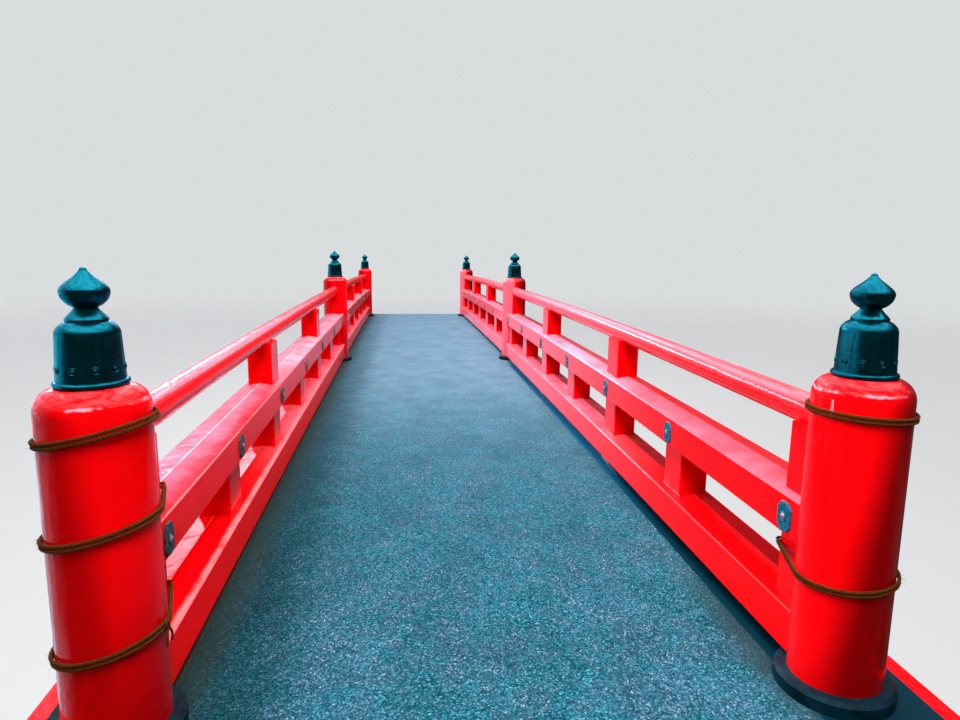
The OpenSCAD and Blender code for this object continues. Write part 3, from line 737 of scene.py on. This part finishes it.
FINIAL_NAILS = 10
FINIAL_NAIL_Z = 0.043
ROSETTE = ((0.0092, -0.0015), (0.0090, 0.0006), (0.0078, 0.0013), (0.0066, 0.0004))


def finial_nails():
    """A row of nails with rosette rings round the foot of each finial's cap."""
    heads = Mesh()
    for name in NODES:
        if not name.startswith("finial"):
            continue
        low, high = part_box(name)
        axis = (low + high) / 2
        rings = sorted((v.co.z - low.z, math.hypot(v.co.x - axis.x, v.co.y - axis.y))
                       for v in NODES[name].data.vertices)
        radius = np.interp(FINIAL_NAIL_Z, [z for z, _ in rings], [r for _, r in rings])
        for i in range(FINIAL_NAILS):
            x, y = polar(1, 360 * (i + 0.35) / FINIAL_NAILS)
            at = (axis.x + radius * x, axis.y + radius * y, low.z + FINIAL_NAIL_Z)
            spot = facing(at, (x, y, 0.05))
            heads.lathe(ROSETTE, 16, spot)
            heads.lathe(dome(0.0046, 0.0034), 12, spot)
    keep(heads.object("finial_nails", PATINA), "dark_patina")


# The rope's turns, as in the solids: side, height above the walkway, lean in degrees, how far the
# turn drops from the rail to its front, and where its knot is. A turn with no drop takes in a strut.
ROPE_TURNS = (
    (-1, 0.817, -11, 0.017, 168), (-1, 0.562, -11, 0, 150), (-1, 0.272, -11, 0, -6),
    (1, 0.817, 2, 0.008, 30), (1, 0.348, -6, 0, 22),
)
ROPE_D = 0.010
ROPE_APART = 0.001
ROPE_FIT = 0.001
SADDLE_FLAT = 14
SADDLE_SLOPE = 40
STRAND_R = ROPE_D * 0.25
STRAND_ORBIT = ROPE_D / 2 - STRAND_R
STRAND_PITCH = 0.034
STRAND_STEPS = 9
LOOSE_FIBRES = 26
KNOT_STEPS = 36
TAIL_STEPS = 8


def hull(points):
    """The outer ring of a set of flat points, anticlockwise."""
    points = sorted(set(points))
    chains = []
    for line in (points, points[::-1]):
        chain = []
        for p in line:
            while len(chain) > 1 and ((chain[-1][0] - chain[-2][0]) * (p[1] - chain[-2][1])
                                      <= (chain[-1][1] - chain[-2][1]) * (p[0] - chain[-2][0])):
                chain.pop()
            chain.append(p)
        chains.append(chain[:-1])
    return chains[0] + chains[1]


def saddle(angle):
    """The share of its drop that a turn has at an angle: none by the rail, which is at 90."""
    away = abs(angle - 90)
    away = min(away, 360 - away)
    t = max(0, min(1, (away - SADDLE_FLAT) / SADDLE_SLOPE))
    return t * t * (3 - 2 * t)


def rope_way(lean, drop, corner):
    """A rope's middle line round the post, and round the strut's far corners where drop is 0."""
    turn_r = (POST_R + ROPE_D / 2) / math.cos(math.radians(lean)) + ROPE_FIT
    ring = [polar(turn_r, a) for a in range(0, 360, 3)]
    if drop:
        return [Vector((x, y, -drop * saddle(math.degrees(math.atan2(y, x))))) for x, y in ring]
    bend = [polar(ROPE_D / 2 + ROPE_FIT, a) for a in range(0, 360, 20)]
    ring += [(s * corner[0] + x, corner[1] + y) for s in SIDES for x, y in bend]
    return [Vector((x, y, 0)) for x, y in hull([(round(x, 7), round(y, 7)) for x, y in ring])]


def resample(way, count):
    """The same closed way with evenly spaced points, and its length."""
    pts = np.array([list(p) for p in way] + [list(way[0])])
    run = np.concatenate([[0], np.cumsum(np.linalg.norm(np.diff(pts, axis=0), axis=1))])
    marks = np.linspace(0, run[-1], count, endpoint=False)
    return np.stack([np.interp(marks, run, pts[:, k]) for k in range(3)], 1), run[-1]


def twisted_cord(mesh, way, matrix, seed):
    """Three strands laid round a closed way."""
    turns = round(resample(way, 8)[1] / STRAND_PITCH)
    count = turns * STRAND_STEPS
    pts = resample(way, count)[0]
    ahead = unit(np.roll(pts, -2, 0) - np.roll(pts, 2, 0))
    out = unit(np.cross(ahead, (0, 0, 1)))
    up = np.cross(out, ahead)
    for k in range(3):
        line, radii = [], []
        for i in range(count):
            x, y = polar(STRAND_ORBIT, 360 * (i * turns / count + k / 3))
            sway = noise.noise((i * 0.045, k * 0.4, seed)) * 0.0009
            swell = 1 + 0.14 * noise.noise((i * 0.31, k * 3.7, seed + 9))
            line.append(matrix @ Vector(pts[i] + out[i] * (x + abs(sway)) + up[i] * (y + sway)))
            radii.append(STRAND_R * swell)
        mesh.tube(line, radii, 6, closed=True)


def knot(mesh, at, out, seed):
    """A small lashing knot with two short ends that hang down."""
    rnd = random.Random(seed)
    spot = facing(at, out)
    loop = []
    for i in range(KNOT_STEPS):
        t = 2 * math.pi * i / KNOT_STEPS
        r = 0.0085 + 0.0035 * math.cos(3 * t)
        x, y, z = r * math.cos(2 * t), 1.25 * r * math.sin(2 * t), 0.0035 * math.sin(3 * t)
        loop.append(spot @ Vector((x, y, z)))
    mesh.tube(loop, ROPE_D * 0.36, 8, closed=True)
    shares = [i / TAIL_STEPS for i in range(TAIL_STEPS + 1)]
    for s in SIDES:
        hang = rnd.uniform(0.028, 0.045)
        tail = [spot @ Vector((s * (0.004 + 0.012 * u + 0.003 * math.sin(4 * u)),
                               -0.006 - hang * u, 0.002 + 0.004 * math.sin(3 * u))) for u in shares]
        mesh.tube(tail, [ROPE_D * 0.34 * (1 - 0.15 * u) for u in shares], 7)


def ropes():
    """Double turns of twisted palm rope round the near posts, with knots and loose fibres."""
    cords, fibres = Mesh(), Mesh()
    rnd = random.Random(5)
    strut_low, strut_high = islands("lower_struts_left")[0]
    corner_x = (strut_high.x - strut_low.x) / 2
    corner_y = strut_high.y + BAY
    for n, (side, h, lean, drop, knot_at) in enumerate(ROPE_TURNS):
        leaning = Matrix.Rotation(math.radians(lean), 4, "Y")
        turned = Matrix.Translation((side * RAIL_X, -BAY, DECK_Z + h)) @ leaning
        way = rope_way(lean, drop, (corner_x / math.cos(math.radians(lean)), corner_y))
        for level in (-0.5, 0.5):
            matrix = turned @ Matrix.Translation((0, 0, level * (ROPE_D + ROPE_APART)))
            twisted_cord(cords, way, matrix, 3.1 * n + level)
            for _ in range(LOOSE_FIBRES):
                p = way[rnd.randrange(len(way))]
                out = Vector((p.x, p.y, 0)).normalized()
                drift = Vector((rnd.uniform(-1, 1), rnd.uniform(-1, 1), rnd.uniform(-0.8, 0.6)))
                start = p + out * ROPE_D * 0.35
                line = [matrix @ (start + (out * 0.5 + drift * 0.8) * 0.009 * u + out * 0.003 * u * u)
                        for u in (0, 0.5, 1)]
                fibres.tube(line, [0.0003, 0.00025, 0.0001], 3)
        out = Vector((*polar(1, knot_at), 0))
        over = Vector((0, 0, -drop * saddle(knot_at) - 0.002))
        knot(cords, turned @ (out * (POST_R + ROPE_D + 0.003) + over), out, n)
    keep(cords.object("twisted_ropes", ROPE), "rope", "rope_lashings")
    keep(fibres.object("rope_fibres", ROPE), "rope")


BOARD_W = 0.205
BOARD_GAP = 0.006
NOTCH = 0.132


def deck_boards():
    """Cross boards under the surfacing, notched round the posts."""
    boards = Mesh()
    rnd = random.Random(11)
    low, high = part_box("deck_planks")
    count = round((high.y - low.y) / BOARD_W)
    pitch = (high.y - low.y) / count
    half = (pitch - BOARD_GAP) / 2
    for i in range(count):
        y = low.y + (i + 0.5) * pitch
        cuts = []
        if any(abs(y - place * BAY) < NOTCH + half for place in PLACES):
            cuts = [-RAIL_X - NOTCH, -RAIL_X + NOTCH, RAIL_X - NOTCH, RAIL_X + NOTCH]
        ends = [low.x + rnd.uniform(0, 0.003), *cuts, high.x - rnd.uniform(0, 0.003)]
        under = PLANKS_LOW + rnd.uniform(0, 0.004)
        square = Matrix.Translation(on_arc(0, y, 0)) @ Matrix.Rotation(-math.asin(y / ARC_R), 4, "X")
        for x0, x1 in zip(ends[::2], ends[1::2]):
            boards.box((x0, -half, under), (x1, half, PLANKS_TOP - 0.0004), square)
    keep(boards.object("deck_boards", DARK_ACROSS, 0.003), "dark_timber", "deck_planks")


COURSE_H = 0.235
STONE_DEPTH = 0.15
EVEN_STONE_L = 0.38
JOINT = 0.012
FACE_CELL = 0.055
ROUNDING = 0.03
ON_FACE = 0.001
BACK_WALL_T = 0.3
BACK_WALL_COURSES = 2
COPING_T = 0.13
COPING_STONES = 4


def weather(p, low, high, out, seed):
    """Moves a point of a stone: round at the edges, hewn on its face."""
    edge = min(min(p[k] - low[k], high[k] - p[k]) / ROUNDING for k in range(3) if not out[k])
    edge = max(0.0, min(1.0, edge))
    depth = noise.noise(p * 9.0 + Vector((seed, 0, seed))) * 0.010 + noise.noise(p * 31.0) * 0.003
    for k in range(3):
        at_low, at_high = p[k] - low[k] < ON_FACE, high[k] - p[k] < ON_FACE
        if out[k] and (at_high if out[k] > 0 else at_low):
            p[k] += out[k] * (depth * (0.4 + 0.6 * edge) - 0.016 * (1 - edge) ** 1.5 - 0.007)
        elif not out[k]:
            inward = 0.003 * noise.noise(p * 17.0 + Vector((0, seed, 0)))
            p[k] += inward if at_low else -inward if at_high else 0
    return p


def rough_stone(mesh, low, high, out, seed):
    """One squared stone with a hewn face towards out, whose edges fall back into the joints."""
    low, high = Vector(low), Vector(high)
    size = high - low
    cells = [max(2, round(length / FACE_CELL)) for length in size]
    for axis in range(3):
        for end in (0, 1):
            across, along = (axis + 1) % 3, (axis + 2) % 3
            if not end:
                across, along = along, across

            def point(u, v):
                p = Vector((0, 0, 0))
                p[axis] = high[axis] if end else low[axis]
                p[across] = low[across] + size[across] * u
                p[along] = low[along] + size[along] * v
                return weather(p, low, high, out, seed)

            mesh.grid(point, cells[across], cells[along])


def lay_row(mesh, low, high, along, side, corners, rnd):
    """A row of stones along X (0) or Y (1), on one side of a block, with its corners or between them."""
    inset = 0 if corners else STONE_DEPTH + JOINT
    start, stop = low[along] + inset, high[along] - inset
    if stop < start:
        return
    across = 1 - along
    length = EVEN_STONE_L if along else rnd.uniform(0.36, 0.50)
    count = max(1, round((stop - start) / length))
    marks = [start + (stop - start) * i / count for i in range(count + 1)]
    if not along:
        marks[1:-1] = [mark + rnd.uniform(-0.05, 0.05) for mark in marks[1:-1]]
    for i, (a, b) in enumerate(zip(marks, marks[1:])):
        stone_low, stone_high, out = list(low), list(high), [0, 0, 0]
        stone_low[along] = a + (JOINT / 2 if i else 0)
        stone_high[along] = b - (JOINT / 2 if i < count - 1 else 0)
        if side < 0:
            stone_high[across] = low[across] + STONE_DEPTH
        else:
            stone_low[across] = high[across] - STONE_DEPTH
        out[across] = side
        if corners and i == 0:
            out[along] = -1
        if corners and i == count - 1:
            out[along] = 1
        rough_stone(mesh, stone_low, stone_high, out, rnd.uniform(0, 99))


def lay_courses(mesh, low, high, count, rnd):
    """Courses round a block. The long ends of the corner stones change from course to course."""
    for i in range(count):
        z0, z1 = (low[2] + (high[2] - low[2]) * k / count for k in (i, i + 1))
        for along in (0, 1):
            for side in SIDES:
                lay_row(mesh, (*low[:2], z0 + JOINT / 2), (*high[:2], z1 - JOINT / 2), along, side,
                        i % 2 == along, rnd)


def abutments():
    """Coursed rough stone round a mortar core, with flat coping stones on the girders' seat."""
    stones, cores = Mesh(), Mesh()
    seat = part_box("bearing_sills")[0].z
    wall_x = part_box("deck_surfacing")[1].x
    coping_z = seat - COPING_T
    core = JOINT + 0.010
    rnd = random.Random(21)
    for place, name in ((-1, "abutment_near"), (1, "abutment_far")):
        low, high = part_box(name)
        back = high.y if place > 0 else low.y
        wall = sorted((back, back - place * BACK_WALL_T))
        cores.box((low.x + core, low.y + core, 0.0), (high.x - core, high.y - core, seat - 0.004))
        cores.box((-wall_x + core, wall[0] + core, seat - 0.01),
                  (wall_x - core, wall[1] - core, high.z - 0.008))
        lay_courses(stones, (low.x, low.y, 0), (high.x, high.y, coping_z), round(coping_z / COURSE_H), rnd)
        for i in range(COPING_STONES):
            a, b = (low.x + (high.x - low.x) * k / COPING_STONES for k in (i, i + 1))
            stones.box((a + (0.004 if i else 0.002), low.y + 0.002, coping_z + 0.005),
                       (b - (0.004 if i < COPING_STONES - 1 else 0.002), high.y - 0.002, seat))
        lay_courses(stones, (-wall_x, wall[0], seat), (wall_x, wall[1], high.z - 0.03),
                    BACK_WALL_COURSES, rnd)
    keep(stones.object("abutment_stones", STONE, 0, 50), "masonry", "abutment_near", "abutment_far")
    keep(cores.object("abutment_mortar", mortar()), "masonry")


PIER_LEAN = math.radians(4)
STRAP_HALF_W = 0.035
STRAP_T = 0.008
STRAP_BOLTS_Z = (-0.15, -0.06, 0.06, 0.14)
WASHER = ((0.019, -0.001), (0.019, 0.003), (0.013, 0.003))


def pier_fittings():
    """Wedges over the ties beside the columns, and straps with washers and nuts up to the cap beam."""
    wedges, iron = Mesh(), Mesh()
    cap_low, cap_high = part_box("pier_cap")
    column_r = islands("pier_columns")[0][1].y
    on_side = Matrix.Rotation(math.radians(90), 4, "X")
    for low, high in islands("pier_ties"):
        z = high.z
        for i in PLACES:
            for s in SIDES:
                edge = i * (RAIL_X + (cap_low.z - z) * math.tan(PIER_LEAN)) + s * (column_r - 0.012)
                outline = [(edge - s * 0.01, z - 0.001), (edge + s * 0.13, z - 0.001),
                           (edge + s * 0.13, z + 0.008), (edge - s * 0.01, z + 0.036)]
                wedges.prism(outline[::s], low.y + 0.008, high.y - 0.008, on_side)
    for i in PLACES:
        for s in SIDES:
            x = i * RAIL_X
            front = s * (cap_high.y + STRAP_T)
            y0, y1 = sorted((s * cap_high.y, front))
            iron.box((x - STRAP_HALF_W, y0, cap_low.z - 0.20), (x + STRAP_HALF_W, y1, cap_low.z + 0.18))
            for z in STRAP_BOLTS_Z:
                spot = facing((x, front, cap_low.z + z), (0, s, 0))
                iron.lathe(WASHER, 16, spot)
                iron.prism([polar(0.012, 60 * k) for k in range(6)], 0.002, 0.013, spot, 0.001)
    keep(wedges.object("tie_wedges", DARK_ACROSS, 0.002), "dark_timber")
    keep(iron.object("pier_straps", DARK_NAILS, 0.001), "dark_metal")


EDGE_NAILS = 28
EDGE_NAIL_ROWS = (-0.055, -0.185)
EDGE_NAIL_INSET = 0.2


def edge_board_nails():
    """Two rows of domed nails along each edge board."""
    nails = Mesh()
    for side, name in ((-1, "edge_board_left"), (1, "edge_board_right")):
        low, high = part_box(name)
        x = low.x if side < 0 else high.x
        run = high.y - low.y - 2 * EDGE_NAIL_INSET
        for i in range(EDGE_NAILS):
            y = low.y + EDGE_NAIL_INSET + run * i / (EDGE_NAILS - 1)
            for h in EDGE_NAIL_ROWS:
                nails.lathe(dome(0.012, 0.006), 12, facing(on_arc(x, y, h), (side, 0, 0)))
    keep(nails.object("edge_board_nails", DARK_NAILS), "dark_metal")


GAP_CLEAR = 0.01
GAP_SUNK = 0.002


def dirt_height(x, y, across):
    """The dirt's thickness, in patches that thin out to both edges."""
    spread = noise.noise((x * 9, y * 3.0, 4.0)) * 0.5 + noise.noise((x * 31, y * 19, 2.0)) * 0.35
    return 0.036 * max(0.0, 0.62 + spread) * max(0.0, 1 - abs(across) ** 3)


def coat_height(x, y, across):
    """The coat's thickness. It is higher from a third of the way along the near bay on."""
    rise = max(0.0, min(1.0, (y + 0.70 * BAY) / (0.06 * BAY), (-0.05 * BAY - y) / (0.03 * BAY)))
    spread = noise.noise((x * 9, y * 7.0, 4.0)) * 0.003
    return (0.006 + 0.034 * rise + spread) * max(0.0, 1 - abs(across) ** 12)


def gap_grit():
    """What fills the gap under the bottom rails: dirt on the left, the smooth coat on the right."""
    for side, name, material, height, inset in (
            (-1, "gap_grit_left", silt(), dirt_height, 0.004),
            (1, "gap_coat_right", SURFACING, coat_height, 0.014)):
        ridge = Mesh()
        for place in (-1, 0):
            y0 = place * BAY + POST_R + GAP_CLEAR
            y1 = (place + 1) * BAY - POST_R - GAP_CLEAR

            def point(u, v):
                across = 2 * u - 1
                x = side * RAIL_X + across * (BOTTOM_W / 2 - inset)
                y = y0 + (y1 - y0) * v
                return on_arc(x, y, height(x, y, across) - GAP_SUNK)

            ridge.grid(point, 12, 260)
        keep(ridge.object(name, material), "surfacing")


CAULK_R = 0.0026


def strut_caulk():
    """Thin beads of paint along the joints at the feet and heads of the struts."""
    beads = Mesh()
    rows = (("lower_struts", BOTTOM_RIDGE, BOTTOM_W, MID_LOW), ("upper_struts", MID_RIDGE, MID_W, None))
    for name, ridge, rail_w, under in rows:
        for low, high in islands(f"{name}_left") + islands(f"{name}_right"):
            xc = (low.x + high.x) / 2
            half = (high.x - low.x) / 2
            eaves = ridge - RIDGE_H * half / (rail_w / 2)
            lines = []
            for y in (low.y, high.y):
                if abs(y - round(y / BAY) * BAY) < POST_R + 0.01:
                    continue
                lines.append([on_arc(xc + k * half, y, ridge + (eaves - ridge) * abs(k))
                              for k in (-1, -0.5, 0, 0.5, 1)])
                if under:
                    lines.append([on_arc(xc + k * half, y, under) for k in (-1, 0, 1)])
            for s in SIDES:
                for h in (eaves, under) if under else (eaves,):
                    lines.append([on_arc(xc + s * half, y, h) for y in (low.y, (low.y + high.y) / 2, high.y)])
            for line in lines:
                beads.tube(line, CAULK_R, 6)
    keep(beads.object("strut_caulk", RED_UPRIGHT), "red_paint")


# Runs with a painted highlight: side, place, angle round the post and length. The rest fall by chance.
PALE_RUNS = [(1, -1, -158, 0.050), (-1, -1, -140, 0.050)]
RUNS_A_POST = 3
RUN_TOP = 0.052


def paint_runs():
    """Drips of thick paint down the posts from under their shoulders."""
    rnd = random.Random(31)
    pale_runs, runs = Mesh(), Mesh()
    spots = list(PALE_RUNS)
    for side in SIDES:
        for place in PLACES:
            for _ in range(RUNS_A_POST):
                spots.append((side, place, rnd.uniform(-180, 180), rnd.uniform(0.02, 0.055)))
    for n, (side, place, angle, length) in enumerate(spots):
        y = place * BAY
        top = on_arc(0, y, 0).z + (POST_TOP - DECK_Z) - RUN_TOP
        half_w = rnd.uniform(0.0045, 0.0065)
        bulge = rnd.uniform(0.0016, 0.0024)

        def point(u, v):
            across = 2 * u - 1
            w = half_w * (0.65 + 0.35 * v) * math.sqrt(max(0.0, 1 - max(0.0, (v - 0.86) / 0.14) ** 2))
            lift = bulge * (0.45 + 0.55 * v) * (1 - across * across) * (1 if v < 0.93 else 0.6)
            t = math.radians(angle) - across * w / POST_R
            r = POST_R - 0.0006 + lift
            return (side * RAIL_X + r * math.cos(t), y + r * math.sin(t), top - length * v)

        (pale_runs if n < len(PALE_RUNS) else runs).grid(point, 8, 14)
    # The pale runs carry a painted highlight
    keep(pale_runs.object("pale_paint_runs", highlit_runs()), "red_paint")
    keep(runs.object("paint_runs", RED_POST), "red_paint")


def add_camera():
    turned = Matrix.Translation(CAMERA_AT)
    for degrees, axis in ((-CAMERA_YAW, "Z"), (90 - CAMERA_PITCH, "X"), (CAMERA_ROLL, "Z")):
        turned = turned @ Matrix.Rotation(math.radians(degrees), 4, axis)
    data = bpy.data.cameras.new("camera")
    data.sensor_width = SENSOR_MM
    data.lens = SENSOR_MM * FOCAL_PX / FRAME_PX
    data.clip_end = 900
    camera = bpy.data.objects.new("camera", data)
    camera.matrix_world = turned
    bpy.context.scene.collection.objects.link(camera)
    bpy.context.scene.camera = camera


BACKDROP = (0.70, 0.72, 0.73)
FLOOR_GLOW = (0.50, 0.51, 0.52)
FILL = (0.05, 0.05, 0.055)
# What glossy surfaces mirror: the sky, the bright sides ahead and to the left, the dark ones, and
# a bright band low in the sky
SKY = (1.75, 1.90, 2.10)
AHEAD = (1.90, 1.50, 1.95)
LEFT = (0.70, 0.92, 1.12)
DIM = (0.16, 0.06, 0.10)
DARK = (0.04, 0.05, 0.05)
BAND = (13.0, 12.0, 14.0)
BAND_WAY = Vector((-0.393, 0.882, 0.260))
BAND_INNER, BAND_OUTER = 0.020, 0.045
# Panels: name, place along the walkway, length and power. Suns: name, azimuth with 0 ahead and 90 to
# the right, elevation, power and angle across.
PANEL_W = 3
PANEL_Z = 6.8
PANELS = (("overhead", -0.5, 17, 1330), ("overhead_near", -7.5, 3, 320))
SUNS = (("left", -68, 24, 3.3, 45), ("right", 100, 25, 0.35, 60), ("behind", -160, 34, 1.1, 14))


def add_lamp(name, kind, power, source, at=(0, 0, 0), **settings):
    """A lamp that shines from the direction of source and isn't mirrored."""
    data = bpy.data.lights.new(name, kind)
    data.energy = power
    for key, value in settings.items():
        setattr(data, key, value)
    lamp = bpy.data.objects.new(name, data)
    lamp.location = at
    lamp.rotation_euler = Vector(source).to_track_quat("Z", "Y").to_euler()
    lamp.visible_glossy = False
    bpy.context.scene.collection.objects.link(lamp)


def add_light():
    """Soft light from above the walkway and from the left. The camera sees a plain pale backdrop."""
    world = bpy.data.worlds.new("studio")
    bpy.context.scene.world = world
    world.use_nodes = True
    w = Nodes(world.node_tree, "Generated")
    low_sides = w.blend(w.along((-0.90, 0.43, 0.0)), 0.50, 0.98, DARK, LEFT)
    ahead = w.blend(w.x, 0.05, 0.28, AHEAD, DIM)
    mirrored = w.blend(w.z, 0.09, 0.32, low_sides, w.blend(w.y, 0.25, 0.80, low_sides, ahead))
    mirrored = w.blend(w.z, 0.45, 0.80, mirrored, SKY)
    gaps = w.fade(w.noise(7.0, 4.0), 0.38, 0.66, 0.45, 2.1)
    mirrored = w.scale(mirrored, gaps)
    beside = w.fade(w.along(BAND_WAY), 0.965, 0.985)
    over = w.fade(w.z, BAND_WAY.z + BAND_INNER, BAND_WAY.z + BAND_OUTER, 1.0, 0.0)
    under = w.fade(w.z, BAND_WAY.z - BAND_OUTER, BAND_WAY.z - BAND_INNER)
    mirrored = w.mix(w.times(beside, over, under), mirrored, BAND)
    path = w.node("ShaderNodeLightPath").outputs
    light = w.mix(path["Is Glossy Ray"], FILL, mirrored)
    background = world.node_tree.nodes["Background"]
    w.put(background.inputs["Color"], w.mix(path["Is Camera Ray"], light, BACKDROP))
    for name, y, length, power in PANELS:
        add_lamp(name, "AREA", power, (0, 0, PANEL_Z), (0, y, PANEL_Z),
                 shape="RECTANGLE", size=PANEL_W, size_y=length)
    for name, azimuth, elevation, power, angle in SUNS:
        level, up = polar(1, elevation)
        y, x = polar(level, azimuth)
        add_lamp(name, "SUN", power, (x, y, up), angle=math.radians(angle))


def add_floor():
    """A pale floor that runs out into the backdrop. It is dimmer for light that goes on to the bridge."""
    floor = Mesh()
    floor.box((-60, -60, -0.05), (60, 60, 0))
    p = Paint("pale_floor")
    shade = p.mix(p.noise(0.6), (0.150, 0.153, 0.155), (0.165, 0.168, 0.170))
    material = p.done(shade, 0.9, Specular_IOR_Level=0.1)
    camera_ray = p.node("ShaderNodeLightPath").outputs["Is Camera Ray"]
    glow = p.node("ShaderNodeEmission", {"Color": FLOOR_GLOW, "Strength": camera_ray}).outputs[0]
    both = p.node("ShaderNodeAddShader", {0: p.shader.outputs[0], 1: glow}).outputs[0]
    clear = p.node("ShaderNodeBsdfTransparent").outputs[0]
    far = p.fade(p.vector("LENGTH", {0: p.place}).outputs["Value"], 9.0, 45.0)
    out = p.node("ShaderNodeMixShader", {0: far, 1: both, 2: clear}).outputs[0]
    p.put(p.tree.nodes["Material Output"].inputs["Surface"], out)
    piece = floor.object("floor", material)
    piece.location.z = -0.0005
    piece.visible_glossy = False


dress_nodes()
nail_covers()
finial_nails()
ropes()
deck_boards()
abutments()
pier_fittings()
edge_board_nails()
gap_grit()
strut_caulk()
paint_runs()
add_camera()
add_light()
add_floor()
bpy.context.scene.view_settings.view_transform = "Standard"
